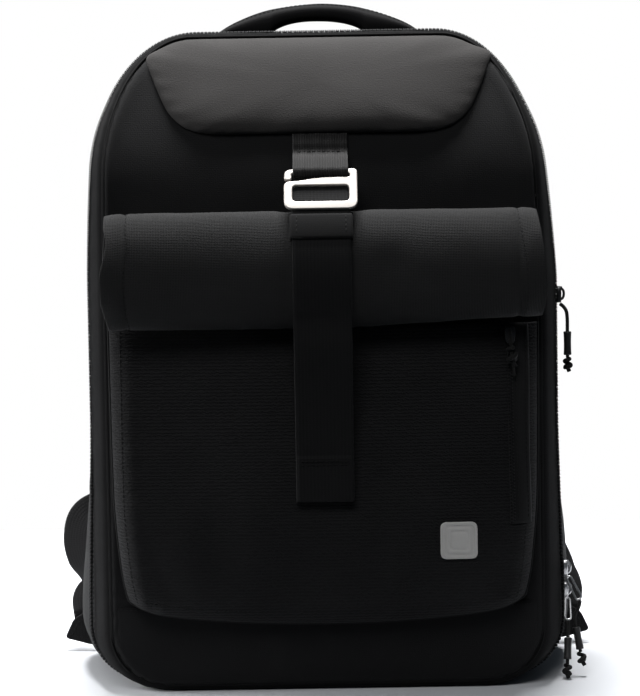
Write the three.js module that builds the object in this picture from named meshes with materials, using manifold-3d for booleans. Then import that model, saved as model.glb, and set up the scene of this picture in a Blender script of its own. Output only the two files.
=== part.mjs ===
// A roll-top city backpack that stands upright on its base.
// Millimetres, +Z up, front towards -Y, origin in the middle of the flat base.
// Two thick-walled cloth shells meet at a zip that runs up one side, over the top and down the
// other. The front carries a padded top pocket, a pouch whose mouth is rolled down, and a strap
// that holds the roll with a flat metal hook. The back carries pads and two shoulder straps.

import * as THREE from "three";
import { mergeVertices } from "three/addons/utils/BufferGeometryUtils.js";
import Module from "manifold-3d";

const wasm = await Module();
wasm.setup();

// Driving dimensions: body
const BAG_HEIGHT = 470;
const BAG_WIDTH = 345;
const BAG_DEPTH = 164;
const SHELL_WALL = 2.5;
const TOP_CORNER_ACROSS = 80;
const TOP_CORNER_HIGH = 98;
const BASE_CORNER_ACROSS = 44;
const BASE_CORNER_HIGH = 40;
const FRONT_EDGE_INSET = 18;
const FRONT_TOP_INSET = 2.5;
const FRONT_BASE_LIFT = 3;
const FRONT_DOME = 10;
const TOP_SETBACK = 42;
const BASE_FLARE = 11;

// Driving dimensions: main zip
const ZIP_FROM_FRONT = 46;
const ZIP_TAPE = 12;
const ZIP_CHAIN = 5.4;
const ZIP_CHAIN_RISE = 1.4;

// Driving dimensions: top pocket
const TOP_POCKET_HEIGHT = 74.5;
const TOP_POCKET_BULGE = 8;

// Driving dimensions: front pouch and its rolled mouth. The roll hangs a drop below the bag's top,
// and the pouch's upper edge lies a drop below the roll's top.
const ROLL_DROP = 127;
const POUCH_DROP = 81;
const ROLL_TOP = BAG_HEIGHT - ROLL_DROP;
const POUCH_TOP = ROLL_TOP - POUCH_DROP;
const POUCH_WIDTH = 303;
const POUCH_BASE = 49.5;
const POUCH_DEPTH = 28;
const POUCH_WALL = 1.8;
const POUCH_ROUNDING = 16;
const ROLL_WIDTH = 304;
const ROLL_HALF_DEPTH = 22;
const ROLL_HALF_HEIGHT = 43.5;
const ROLL_TURNS = 2.2;
const ROLL_PITCH = 5.5;
const ROLL_SHEET = 3;

// Driving dimensions: strap, keeper and hook
const STRAP_WIDTH = 40.5;
const STRAP_THICK = 1.8;
const STRAP_TAIL = 202;
const STRAP_ANCHOR_DROP = 57;
const STRAP_END = ROLL_TOP - STRAP_TAIL;
const STRAP_ANCHOR = POUCH_TOP - STRAP_ANCHOR_DROP;
const STRAP_HEM = 31;
const STRAP_HANG = 5;
const HEM_STEP = 0.6;
const KEEPER_WALL = 1.2;
const HOOK_WIDTH = 52.4;
const HOOK_HEIGHT = 32.8;
const HOOK_THICK = 2.8;
const HOOK_TILT = 35;
const HOOK_BAR_RADIUS = 1.5;
const LOOP_WIDTH = 38.5;
const LOOP_THICK = 1.6;

// Driving dimensions: pouch zip and patch
const POUCH_ZIP_WIDTH = 15.5;
const POUCH_ZIP_LENGTH = 139;
const POUCH_ZIP_THICK = 1.2;
const PATCH_SIDE = 26;
const PATCH_THICK = 2;
const PATCH_ACROSS = 92.8;
const PATCH_UP = 111.5;

// Driving dimensions: handle
const HANDLE_SPAN = 154;
const HANDLE_RISE = 23.4;
const HANDLE_GAP_SPAN = 74;
const HANDLE_GAP_RISE = 10.9;
const HANDLE_WIDTH = 34;
const HANDLE_BACK = 48;

// Driving dimensions: back and shoulder straps
const PAD_BASE = 62;
const PAD_GAP = 15;
const PAD_TOP_ROOM = 78;
const BACK_PAD_HEIGHT = BAG_HEIGHT - PAD_BASE - PAD_TOP_ROOM;
const BACK_PAD_WIDTH = 106;
const BACK_PAD_BULGE = 8;
const BACK_PAD_CORNER = 22;
const SHOULDER_WIDTH = 68;
const SHOULDER_THICK = 12;
const SHOULDER_REACH = 34;
const WEBBING_WIDTH = 25;
const WEBBING_THICK = 1.6;
const ADJUSTER_WIDTH = 34;
const ADJUSTER_HEIGHT = 26;
const ADJUSTER_THICK = 3.5;
const WEBBING_STEP = 3.8;
const WING_THICK = 3;

// Driving dimensions: zip sliders, pull cords, sleeves and knots
const SLIDER_LENGTH = 12;
const SLIDER_WIDTH = 8;
const SLIDER_THICK = 3.2;
const PULLER_WIRE = 1.6;
const CORD_DIAMETER = 2;
const SLEEVE_DIAMETER = 4;
const SLEEVE_WALL = 0.6;
const KNOT_DIAMETER = 6;

// Clearances
const GAP = 0.3;
const SEAT = 0.8;

const FRONT_Y = -BAG_DEPTH / 2;
const BACK_Y = BAG_DEPTH / 2;

// Body sections from front to back. depth is a share of BAG_DEPTH; side, top and base are
// shares of the front edge's insets; setback, dome and flare say how much of each applies.
const SECTIONS = [
  { depth: 0, side: 1, top: 1, base: 1, setback: 1, dome: 1, flare: 0 },
  { depth: 0.07, side: 0.62, top: 0.45, base: 0.35, setback: 0.92, dome: 0.35, flare: 0.1 },
  { depth: 0.24, side: 0.3, top: 0.1, base: 0, setback: 0.6, dome: 0, flare: 0.25 },
  { depth: 0.5, side: 0.04, top: 0, base: 0, setback: 0.22, dome: 0, flare: 0.7 },
  { depth: 0.72, side: 0, top: 0, base: 0, setback: 0, dome: 0, flare: 1 },
  { depth: 0.91, side: 0.15, top: 0.1, base: 0, setback: 0, dome: 0, flare: 1 },
  { depth: 0.985, side: 0.6, top: 0.7, base: 0.8, setback: 0, dome: 0, flare: 0.9 },
  { depth: 1, side: 1, top: 1.4, base: 2, setback: 0, dome: 0, flare: 0.8 },
];

// How far the sides stand out low down and draw in near the top: height as a share of
// BAG_HEIGHT, out of BASE_FLARE.
const FLARE_RISE = [
  { height: 0, out: 0.8 },
  { height: 0.1, out: 1 },
  { height: 0.2, out: 0.75 },
  { height: 0.3, out: 0.32 },
  { height: 0.42, out: 0 },
  { height: 0.62, out: 0 },
  { height: 0.71, out: -0.25 },
  { height: 0.79, out: -0.6 },
  { height: 0.84, out: -0.8 },
  { height: 0.89, out: -1 },
  { height: 0.945, out: -1.1 },
];

// How deep the pouch is at each height, as shares of its height and of POUCH_DEPTH.
const POUCH_PROFILE = [
  { height: 0, depth: 0.72 },
  { height: 0.12, depth: 0.92 },
  { height: 0.3, depth: 1 },
  { height: 0.6, depth: 0.75 },
  { height: 0.85, depth: 0.45 },
  { height: 1, depth: 0.3 },
];

// Half of the pouch's outline at each height, as shares of its height and half width.
const POUCH_OUTLINE = [
  { height: 0, half: 0.84 },
  { height: 0.04, half: 0.905 },
  { height: 0.11, half: 0.94 },
  { height: 0.22, half: 0.965 },
  { height: 0.45, half: 0.99 },
  { height: 1, half: 1 },
];

// How the strap's free end falls back from the roll towards the pouch, as shares of the way.
const STRAP_FALL = [
  { out: 1, up: 0.82 },
  { out: 0.4, up: 0.6 },
  { out: 0.1, up: 0.42 },
];

// Half of the top pocket's lower outline, as shares of its height and of half the bag's width.
const TOP_POCKET_EDGE = [
  { height: 0, half: 0.42 },
  { height: 0.02, half: 0.5 },
  { height: 0.07, half: 0.56 },
  { height: 0.2, half: 0.62 },
  { height: 0.42, half: 0.665 },
  { height: 0.76, half: 0.725 },
];

// Route of a padded shoulder strap, as shares of the half width, SHOULDER_REACH and height.
const SHOULDER_ROUTE = [
  { across: 0.36, out: 0, up: 0.935, width: 1 },
  { across: 0.37, out: 0.02, up: 0.88, width: 1 },
  { across: 0.39, out: 0.36, up: 0.81, width: 1 },
  { across: 0.43, out: 0.8, up: 0.72, width: 0.98 },
  { across: 0.47, out: 1, up: 0.62, width: 0.95 },
  { across: 0.53, out: 0.92, up: 0.51, width: 0.92 },
  { across: 0.61, out: 0.62, up: 0.41, width: 0.86 },
  { across: 0.7, out: 0.34, up: 0.33, width: 0.72 },
  { across: 0.745, out: 0.24, up: 0.295, width: 0.5 },
];

// Route of the webbing from the adjuster to the wing. across and up are shares of the half
// width and of the height, out is a share of SHOULDER_REACH behind the back, and the last
// three columns point along the webbing's width.
const WEBBING_ROUTE = {
  left: [
    { across: 0.93, out: 0.4, up: 0.223, wideX: 0.1, wideY: 0.1, wideZ: 1 },
    { across: 1.04, out: 0.42, up: 0.206, wideX: 0, wideY: 0.2, wideZ: 1 },
    { across: 1.115, out: 0.4, up: 0.188, wideX: 0.2, wideY: 0.7, wideZ: 0.8 },
    { across: 1.133, out: 0.38, up: 0.162, wideX: 0.35, wideY: 1, wideZ: 0.2 },
    { across: 1.12, out: 0.36, up: 0.137, wideX: 0.4, wideY: 1, wideZ: 0 },
    { across: 1.095, out: 0.32, up: 0.11, wideX: 0.6, wideY: 0.9, wideZ: 0 },
    { across: 1.08, out: 0.24, up: 0.088, wideX: 1, wideY: 0.5, wideZ: 0 },
    { across: 1.07, out: 0.18, up: 0.068, wideX: 1, wideY: 0, wideZ: 0 },
    { across: 1.06, out: 0.165, up: 0.04, wideX: 1, wideY: 0, wideZ: 0 },
  ],
  right: [
    { across: 0.9, out: 0.42, up: 0.208, wideX: 0.5, wideY: 0.1, wideZ: 0.9 },
    { across: 0.97, out: 0.42, up: 0.18, wideX: 0.6, wideY: 0.3, wideZ: 0.7 },
    { across: 1.04, out: 0.4, up: 0.15, wideX: 0.6, wideY: 0.7, wideZ: 0.4 },
    { across: 1.085, out: 0.36, up: 0.12, wideX: 0.6, wideY: 0.9, wideZ: 0 },
    { across: 1.09, out: 0.26, up: 0.092, wideX: 1, wideY: 0.5, wideZ: 0 },
    { across: 1.07, out: 0.18, up: 0.068, wideX: 1, wideY: 0, wideZ: 0 },
    { across: 1.06, out: 0.165, up: 0.04, wideX: 1, wideY: 0, wideZ: 0 },
  ],
};

// Corners of a wing that the lower webbing is sewn to, as shares of half width and height.
const WING_CORNERS = [
  { across: 0.8, up: 0.012 },
  { across: 1.06, up: 0.01 },
  { across: 1.18, up: 0.022 },
  { across: 1.14, up: 0.053 },
  { across: 1.0, up: 0.085 },
  { across: 0.8, up: 0.13 },
];

// Small working functions

function mix(a, b, share) {
  return a + (b - a) * share;
}

// The row of a table at a value of its key column, worked out between the rows beside it.
function rowAt(table, key, value) {
  const last = table.length - 1;
  if (value <= table[0][key]) return table[0];
  if (value >= table[last][key]) return table[last];
  const next = table.findIndex((row) => row[key] >= value);
  const a = table[next - 1];
  const b = table[next];
  const share = (value - a[key]) / (b[key] - a[key]);
  return Object.fromEntries(Object.keys(a).map((name) => [name, mix(a[name], b[name], share)]));
}

function shares(count) {
  return Array.from({ length: count + 1 }, (_, i) => i / count);
}

function volumeOf(geometry) {
  const p = geometry.attributes.position;
  const index = geometry.index;
  const [a, b, c] = [new THREE.Vector3(), new THREE.Vector3(), new THREE.Vector3()];
  let total = 0;
  for (let i = 0; i < index.count; i += 3) {
    a.fromBufferAttribute(p, index.getX(i));
    b.fromBufferAttribute(p, index.getX(i + 1));
    c.fromBufferAttribute(p, index.getX(i + 2));
    total += a.dot(b.cross(c)) / 6;
  }
  return total;
}

// A geometry from points and triangles, with its faces pointing out.
function closedGeometry(points, triangles) {
  const geometry = new THREE.BufferGeometry().setFromPoints(points);
  geometry.setIndex(triangles.flat());
  if (volumeOf(geometry) < 0) geometry.setIndex(triangles.flatMap(([a, b, c]) => [a, c, b]));
  geometry.computeVertexNormals();
  return geometry;
}

// A solid skinned over closed rings of equal length, with both ends closed by fans.
function loft(rings) {
  const count = rings[0].length;
  const points = rings.flat();
  const triangles = [];
  for (let r = 0; r + 1 < rings.length; r += 1) {
    for (let i = 0; i < count; i += 1) {
      const j = (i + 1) % count;
      const [a, b] = [r * count + i, r * count + j];
      triangles.push([a, b, b + count], [a, b + count, a + count]);
    }
  }
  const last = (rings.length - 1) * count;
  const first = points.length;
  points.push(centre(rings[0]), centre(rings[rings.length - 1]));
  for (let i = 0; i < count; i += 1) {
    const j = (i + 1) % count;
    triangles.push([first, j, i], [first + 1, last + i, last + j]);
  }
  return closedGeometry(points, triangles);
}

function centre(ring) {
  const sum = ring.reduce((total, point) => total.add(point), new THREE.Vector3());
  return sum.divideScalar(ring.length);
}

// A solid between two faces of the same grid of points, joined along their edges.
function slab(outer, inner) {
  const rows = outer.length;
  const columns = outer[0].length;
  const points = [...outer.flat(), ...inner.flat()];
  const half = rows * columns;
  const at = (r, c) => r * columns + c;
  const triangles = [];
  for (let r = 0; r + 1 < rows; r += 1) {
    for (let c = 0; c + 1 < columns; c += 1) {
      const [p, q, s, t] = [at(r, c), at(r, c + 1), at(r + 1, c + 1), at(r + 1, c)];
      triangles.push([p, q, s], [p, s, t]);
      triangles.push([half + p, half + s, half + q], [half + p, half + t, half + s]);
    }
  }
  const rim = [];
  for (let c = 0; c < columns - 1; c += 1) rim.push(at(0, c));
  for (let r = 0; r < rows - 1; r += 1) rim.push(at(r, columns - 1));
  for (let c = columns - 1; c > 0; c -= 1) rim.push(at(rows - 1, c));
  for (let r = rows - 1; r > 0; r -= 1) rim.push(at(r, 0));
  rim.forEach((a, i) => {
    const b = rim[(i + 1) % rim.length];
    triangles.push([b, a, half + a], [b, half + a, half + b]);
  });
  return closedGeometry(points, triangles);
}

// A flat shape with each corner rounded.
function roundedShape(corners, radius) {
  const shape = new THREE.Shape();
  corners.forEach((corner, i) => {
    const before = corners[(i + corners.length - 1) % corners.length];
    const after = corners[(i + 1) % corners.length];
    const reach = Math.min(radius, corner.distanceTo(before) / 2, corner.distanceTo(after) / 2);
    const from = corner.clone().lerp(before, reach / corner.distanceTo(before));
    const to = corner.clone().lerp(after, reach / corner.distanceTo(after));
    if (i === 0) shape.moveTo(from.x, from.y);
    else shape.lineTo(from.x, from.y);
    shape.quadraticCurveTo(corner.x, corner.y, to.x, to.y);
  });
  shape.closePath();
  return shape;
}

function rectangle(width, height, middleX = 0, middleY = 0) {
  const [w, h] = [width / 2, height / 2];
  const corners = [[-w, -h], [w, -h], [w, h], [-w, h]];
  return corners.map(([x, y]) => new THREE.Vector2(middleX + x, middleY + y));
}

function plate(shape, thickness, segments = 3) {
  const settings = { depth: thickness, bevelEnabled: false, curveSegments: segments };
  return new THREE.ExtrudeGeometry(shape, settings).translate(0, 0, -thickness / 2);
}

// The outline of a strip of cloth that follows a path, with a thickness at each point.
function stripShape(path, thickness) {
  const sides = path.map((point, i) => {
    const before = path[Math.max(i - 1, 0)];
    const after = path[Math.min(i + 1, path.length - 1)];
    const along = after.clone().sub(before).normalize();
    const out = new THREE.Vector2(-along.y, along.x).multiplyScalar(thickness(i) / 2);
    return [point.clone().add(out), point.clone().sub(out)];
  });
  const there = sides.map((side) => side[0]);
  const back = sides.map((side) => side[1]).reverse();
  return new THREE.Shape([...there, ...back]);
}

// A strip that is drawn in the side view (y, z) and runs across the bag for its width.
function crossStrip(shape, width) {
  const geometry = new THREE.ExtrudeGeometry(shape, { depth: width, bevelEnabled: false });
  const [x, y, z] = [[1, 0, 0], [0, 1, 0], [0, 0, 1]].map((axis) => new THREE.Vector3(...axis));
  geometry.applyMatrix4(new THREE.Matrix4().makeBasis(y, z, x));
  return geometry.translate(-width / 2, 0, 0);
}

// A solid swept along a route. Each stop gives its centre, its width's direction and both sizes.
function sweep(stops, section) {
  const rings = stops.map((stop, i) => {
    const before = stops[Math.max(i - 1, 0)].at;
    const after = stops[Math.min(i + 1, stops.length - 1)].at;
    const along = after.clone().sub(before).normalize();
    const thin = new THREE.Vector3().crossVectors(along, stop.across).normalize();
    const wide = new THREE.Vector3().crossVectors(thin, along).normalize();
    return section.map(([w, t]) => {
      const point = stop.at.clone().addScaledVector(wide, (w * stop.width) / 2);
      return point.addScaledVector(thin, (t * stop.thick) / 2);
    });
  });
  return loft(rings);
}

const FLAT_SECTION = [[-1, -1], [1, -1], [1, 1], [-1, 1]];
const SOFT_SECTION = [
  [-1, -0.35], [-0.86, -0.85], [0, -1], [0.86, -0.85], [1, -0.35],
  [1, 0.35], [0.86, 0.85], [0, 1], [-0.86, 0.85], [-1, 0.35],
];

function solidOf(geometry) {
  const bare = geometry.clone();
  bare.deleteAttribute("normal");
  bare.deleteAttribute("uv");
  const merged = mergeVertices(bare);
  const vertProperties = Float32Array.from(merged.attributes.position.array);
  const triVerts = Uint32Array.from(merged.index.array);
  return new wasm.Manifold(new wasm.Mesh({ numProp: 3, vertProperties, triVerts }));
}

function geometryOf(solid) {
  const mesh = solid.getMesh();
  const geometry = new THREE.BufferGeometry();
  geometry.setAttribute("position", new THREE.BufferAttribute(mesh.vertProperties, 3));
  geometry.setIndex(new THREE.BufferAttribute(mesh.triVerts, 1));
  geometry.computeVertexNormals();
  return geometry;
}

// Materials, one new one for each piece
const cloth = (color) => () => new THREE.MeshStandardMaterial({ color, roughness: 0.9, metalness: 0 });
const bodyCloth = cloth(0x1c1c1d);
const panelCloth = cloth(0x262627);
const pouchCloth = cloth(0x191919);
const rollCloth = cloth(0x222223);
const webbing = cloth(0x151515);
const meshCloth = cloth(0x1f1f20);
const zipCloth = cloth(0x2a2a2b);
const cordCloth = cloth(0x101010);
const rubber = cloth(0x7a7776);
const plastic = () => new THREE.MeshStandardMaterial({ color: 0x141414, roughness: 0.5, metalness: 0 });
const darkMetal = () => new THREE.MeshStandardMaterial({ color: 0x3a3a3c, roughness: 0.4, metalness: 1 });
const hookMetal = () => new THREE.MeshStandardMaterial({ color: 0xe6ded6, roughness: 0.35, metalness: 1 });

const group = new THREE.Group();

function add(name, geometry, material, parent = group) {
  const mesh = new THREE.Mesh(geometry, material());
  mesh.name = name;
  parent.add(mesh);
  return mesh;
}

// Turns a flat piece so that it faces outward, with its own y as near to up as it can be.
function turnTo(mesh, outward, up = new THREE.Vector3(0, 0, 1)) {
  const z = outward.clone().normalize();
  const x = up.clone().cross(z).normalize();
  const y = z.clone().cross(x);
  mesh.quaternion.setFromRotationMatrix(new THREE.Matrix4().makeBasis(x, y, z));
}

// Body form

function flareAt(z) {
  return BASE_FLARE * rowAt(FLARE_RISE, "height", z / BAG_HEIGHT).out;
}

const SETBACK_START = 0.775;
const SETBACK_POWER = 1.5;

function setbackAt(z) {
  const share = Math.max(0, (z / BAG_HEIGHT - SETBACK_START) / (1 - SETBACK_START));
  return TOP_SETBACK * share ** SETBACK_POWER;
}

function domeAt(x, z) {
  const across = 1 - (x / (BAG_WIDTH / 2)) ** 2;
  const up = 1 - ((2 * z) / BAG_HEIGHT - 1) ** 4;
  return FRONT_DOME * Math.max(0, across) * Math.max(0, up);
}

// The bag's front face and back face, as y at a place across and up.
function frontFace(x, z) {
  return FRONT_Y + setbackAt(z) - domeAt(x, z);
}

function backFace() {
  return BACK_Y;
}

const CORNER_STEPS = 6;
const SIDE_STEPS = 7;
const LEVEL_STEPS = 4;

// A closed outline with elliptical corners, from the right end of the base and up the right.
function outline(half, base, top, corner) {
  const points = [];
  const arc = (x, z, rx, rz, from) => {
    shares(CORNER_STEPS).forEach((share) => {
      const angle = ((from + 90 * share) * Math.PI) / 180;
      points.push([x + rx * Math.cos(angle), z + rz * Math.sin(angle)]);
    });
  };
  const run = (x0, z0, x1, z1, steps) => {
    shares(steps).slice(1, -1).forEach((share) => {
      points.push([mix(x0, x1, share), mix(z0, z1, share)]);
    });
  };
  const { across, high, baseAcross, baseHigh } = corner;
  arc(half - baseAcross, base + baseHigh, baseAcross, baseHigh, -90);
  run(half, base + baseHigh, half, top - high, SIDE_STEPS);
  arc(half - across, top - high, across, high, 0);
  run(half - across, top, across - half, top, LEVEL_STEPS);
  arc(across - half, top - high, across, high, 90);
  run(-half, top - high, -half, base + baseHigh, SIDE_STEPS);
  arc(baseAcross - half, base + baseHigh, baseAcross, baseHigh, 180);
  run(baseAcross - half, base, half - baseAcross, base, LEVEL_STEPS);
  return points;
}

const RING_COUNT = 4 * (CORNER_STEPS + 1) + 2 * (SIDE_STEPS - 1) + 2 * (LEVEL_STEPS - 1);

// The bag's outline at a share of its depth, inset by a distance into the cloth.
function bodyRing(depth, inset = 0, back = 0) {
  const row = rowAt(SECTIONS, "depth", depth);
  const side = FRONT_EDGE_INSET * row.side + inset;
  const top = FRONT_TOP_INSET * row.top + inset;
  const base = FRONT_BASE_LIFT * row.base + inset;
  const half = BAG_WIDTH / 2 - side;
  const corner = {
    across: TOP_CORNER_ACROSS - side,
    high: TOP_CORNER_HIGH - top,
    baseAcross: BASE_CORNER_ACROSS - inset,
    baseHigh: BASE_CORNER_HIGH - inset,
  };
  return outline(half, base, BAG_HEIGHT - top, corner).map(([x, z]) => {
    const out = (flareAt(z) * row.flare * x) / half;
    const y = FRONT_Y + BAG_DEPTH * depth + back;
    const forward = row.setback * setbackAt(z) - row.dome * domeAt(x, z);
    return new THREE.Vector3(x + out, y + forward, z);
  });
}

// A ring drawn together towards the middle of a face, on that face.
function faceRing(ring, share, face, shift) {
  const middle = BAG_HEIGHT / 2;
  return ring.map((point) => {
    const x = point.x * share;
    const z = middle + (point.z - middle) * share;
    return new THREE.Vector3(x, face(x, z) + shift, z);
  });
}

const ZIP_FRONT = ZIP_FROM_FRONT / BAG_DEPTH - ZIP_TAPE / BAG_DEPTH / 2;
const ZIP_BACK = ZIP_FROM_FRONT / BAG_DEPTH + ZIP_TAPE / BAG_DEPTH / 2;
const FACE_SHARES = [0.3, 0.58, 0.82];

function frontShell() {
  const depths = [0, 0.035, 0.07, 0.15, ZIP_FRONT];
  const outer = depths.map((depth) => bodyRing(depth));
  const inner = depths.map((depth, i) => bodyRing(depth, SHELL_WALL, i === 0 ? SHELL_WALL : 0));
  const face = FACE_SHARES.map((share) => faceRing(outer[0], share, frontFace, 0));
  const lining = FACE_SHARES.map((share) => faceRing(inner[0], share, frontFace, SHELL_WALL));
  return loft([...face, ...outer, ...inner.reverse(), ...lining.reverse()]);
}

function rearShell() {
  const depths = [ZIP_BACK, 0.5, 0.72, 0.91, 0.985, 1];
  const last = depths.length - 1;
  const outer = depths.map((depth) => bodyRing(depth));
  const inner = depths.map((depth, i) => bodyRing(depth, SHELL_WALL, i >= last - 1 ? -SHELL_WALL : 0));
  const face = FACE_SHARES.map((share) => faceRing(outer[last], share, backFace, 0));
  const lining = FACE_SHARES.map((share) => faceRing(inner[last], share, backFace, -SHELL_WALL));
  return loft([...face, ...outer.reverse(), ...inner, ...lining.reverse()]);
}

const GAP_SHARE = GAP / BAG_DEPTH;

// A strip between the two shells, over a run of the outline's points.
function rimStrip(indices, columns) {
  const rings = columns.map(([depth, inset]) => bodyRing(depth, inset));
  const sections = indices.map((i) => rings.map((ring) => ring[i % RING_COUNT]));
  const first = sections[0].map((point, k) => {
    const step = sections[1][k].clone().sub(point).setLength(GAP);
    return point.clone().add(step);
  });
  return loft([first, ...sections.slice(1)]);
}

// The zip starts after the base's right corner has begun to rise and ends at the left one.
const ZIP_START = 1;
const ZIP_END = RING_COUNT - (LEVEL_STEPS - 1) - 2;

function mainZip() {
  const [front, back] = [ZIP_FRONT + GAP_SHARE, ZIP_BACK - GAP_SHARE];
  const middle = (ZIP_FRONT + ZIP_BACK) / 2;
  const reach = ZIP_CHAIN / BAG_DEPTH / 2;
  const columns = [
    [front, SHELL_WALL], [back, SHELL_WALL], [back, 0], [middle + reach, 0],
    [middle + reach * 0.7, -ZIP_CHAIN_RISE], [middle - reach * 0.7, -ZIP_CHAIN_RISE],
    [middle - reach, 0], [front, 0],
  ];
  const indices = Array.from({ length: ZIP_END - ZIP_START + 1 }, (_, i) => ZIP_START + i);
  return rimStrip(indices, columns);
}

function baseGusset() {
  const [front, back] = [ZIP_FRONT + GAP_SHARE, ZIP_BACK - GAP_SHARE];
  const columns = [[front, SHELL_WALL], [back, SHELL_WALL], [back, 0], [front, 0]];
  const count = RING_COUNT - ZIP_END + ZIP_START;
  const indices = Array.from({ length: count + 1 }, (_, i) => ZIP_END + i);
  return rimStrip(indices, columns);
}

add("front_shell", frontShell(), bodyCloth);
add("rear_shell", rearShell(), bodyCloth);
add("main_zip", mainZip(), zipCloth);
add("base_gusset", baseGusset(), bodyCloth);

// Padded panels on a face

// Crown of a padded panel: share is how far a ring lies from the middle, rise its height.
const CROWN = [
  { share: 1, rise: 0.12 },
  { share: 0.975, rise: 0.42 },
  { share: 0.92, rise: 0.68 },
  { share: 0.78, rise: 0.88 },
  { share: 0.5, rise: 0.98 },
  { share: 0.25, rise: 1 },
];

// A panel with a closed outline on a face, its back along the face and its front crowned.
function pillow(edge, face, side, bulge) {
  const middle = edge.reduce((sum, [x, z]) => [sum[0] + x, sum[1] + z], [0, 0]);
  const [mx, mz] = middle.map((value) => value / edge.length);
  const ring = (share, rise) => edge.map(([x, z]) => {
    const [px, pz] = [mix(mx, x, share), mix(mz, z, share)];
    return new THREE.Vector3(px, face(px, pz) + side * (SEAT + rise), pz);
  });
  const behind = [0.25, 0.5, 0.78, 1].map((share) => ring(share, 0));
  const crown = CROWN.map((row) => ring(row.share, bulge * row.rise));
  return loft([...behind, ...crown]);
}

// The top pocket's outline: its lower edge from a table, its upper edge just inside the seam.
const TOP_POCKET_INSET = 2;
const TOP_POCKET_RAISE = 4;

function topPocketEdge() {
  const base = BAG_HEIGHT - FRONT_TOP_INSET - TOP_POCKET_HEIGHT + TOP_POCKET_RAISE;
  const right = TOP_POCKET_EDGE.map((row) => [
    (row.half * BAG_WIDTH) / 2,
    base + row.height * TOP_POCKET_HEIGHT,
  ]);
  const above = right[right.length - 1][1] + TOP_POCKET_RAISE;
  const seam = bodyRing(0, TOP_POCKET_INSET).filter((point) => point.z > above);
  const upper = seam.map((point) => [point.x, point.z]);
  const left = right.map(([x, z]) => [-x, z]).reverse();
  return [...right, ...upper, ...left];
}

add("top_pocket_panel", pillow(topPocketEdge(), frontFace, -1, TOP_POCKET_BULGE), panelCloth);

// Front pouch, rolled mouth and side tabs

const POUCH_HEIGHT = POUCH_TOP - POUCH_BASE;
const POUCH_SAG = 17;

function pouchHalf(up) {
  return (POUCH_WIDTH / 2) * rowAt(POUCH_OUTLINE, "height", up).half;
}

// How far the pouch stands off the front, from its distance to the side and bottom seams.
function pouchRise(side, bottom, up) {
  const round = (distance) => {
    const left = 1 - Math.min(1, Math.max(0, distance) / POUCH_ROUNDING);
    return Math.sqrt(1 - left ** 2);
  };
  return POUCH_DEPTH * rowAt(POUCH_PROFILE, "height", up).depth * round(side) * round(bottom);
}

const POUCH_ACROSS = [
  -1, -0.985, -0.95, -0.9, -0.75, -0.5, -0.25, 0,
  0.25, 0.5, 0.75, 0.9, 0.95, 0.985, 1,
];
const POUCH_UP = [0, 0.02, 0.05, 0.1, 0.18, 0.28, 0.44, 0.58, 0.72, 0.85, 1];

// A sheet of the pouch, inset by a distance from its outside.
function pouchSheet(inset) {
  return POUCH_UP.map((up) => POUCH_ACROSS.map((across) => {
    const low = POUCH_BASE + inset + POUCH_SAG * across ** 2;
    const z = mix(low, POUCH_TOP, up);
    const height = (z - POUCH_BASE) / POUCH_HEIGHT;
    const half = pouchHalf(height);
    const x = across * (half - inset);
    const side = (1 - Math.abs(across)) * half;
    const rise = pouchRise(side, z - low, height);
    const y = frontFace(x, z) - SEAT - Math.max(0, rise - inset);
    return new THREE.Vector3(x, y, z);
  }));
}

function pouchFace(x, z) {
  const up = (z - POUCH_BASE) / POUCH_HEIGHT;
  const side = pouchHalf(up) - Math.abs(x);
  const low = POUCH_BASE + POUCH_SAG * (x / pouchHalf(up)) ** 2;
  return frontFace(x, z) - SEAT - pouchRise(side, z - low, up);
}

add("front_pocket", slab(pouchSheet(0), pouchSheet(POUCH_WALL)), pouchCloth);

const ROLL_START = -50;
const ROLL_STEP = 18;

// How far the rolled sheet has closed in at an angle, in degrees from straight back and up.
function rollShrink(angle) {
  return (ROLL_PITCH * (angle - ROLL_START)) / 360;
}

const ROLL_MIDDLE_UP = ROLL_TOP - ROLL_HALF_HEIGHT + rollShrink(90) - ROLL_SHEET / 2;
const ROLL_MIDDLE_Y = frontFace(0, ROLL_MIDDLE_UP) - SEAT - ROLL_SHEET / 2 - ROLL_HALF_DEPTH;

function rollPoint(angle, off = 0) {
  const turn = (angle * Math.PI) / 180;
  const y = ROLL_MIDDLE_Y + (ROLL_HALF_DEPTH - rollShrink(angle) + off) * Math.cos(turn);
  const z = ROLL_MIDDLE_UP + (ROLL_HALF_HEIGHT - rollShrink(angle) + off) * Math.sin(turn);
  return new THREE.Vector2(y, z);
}

function roll() {
  const steps = Math.round((ROLL_TURNS * 360) / ROLL_STEP);
  const path = shares(steps).map((share) => rollPoint(ROLL_START + share * ROLL_TURNS * 360));
  return crossStrip(stripShape(path, () => ROLL_SHEET), ROLL_WIDTH);
}

add("pocket_roll", roll(), rollCloth);

// Strap, keeper, hook and the loop that holds it

const HOOK_ANGLE = ((90 - HOOK_TILT) * Math.PI) / 180;
const HOOK_UP = new THREE.Vector2(Math.cos(HOOK_ANGLE), Math.sin(HOOK_ANGLE));
const HOOK_OUT = new THREE.Vector2(-HOOK_UP.y, HOOK_UP.x);
const LAYER_IN = ROLL_SHEET / 2 + SEAT + KEEPER_WALL + GAP + STRAP_THICK / 2;
const LAYER_OUT = LAYER_IN + STRAP_THICK + GAP;
const STRAP_LEAVES_ROLL = 118;
const HOOK_BAR_UP = 17.2;
const HOOK_BAR_BEHIND = 4.5;
const HOOK_LOWER_BAR = 6;
const HOOK_MIDDLE_LOW = 19.5;
const HOOK_MIDDLE_HIGH = 22.8;
const HOOK_MIDDLE_HIGH_RIGHT = 26.2;
const HOOK_TOP_BAR_LOW = 29.3;
const HOOK_TIP_LOW = 24;
const HOOK_LEG = 5.7;

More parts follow.
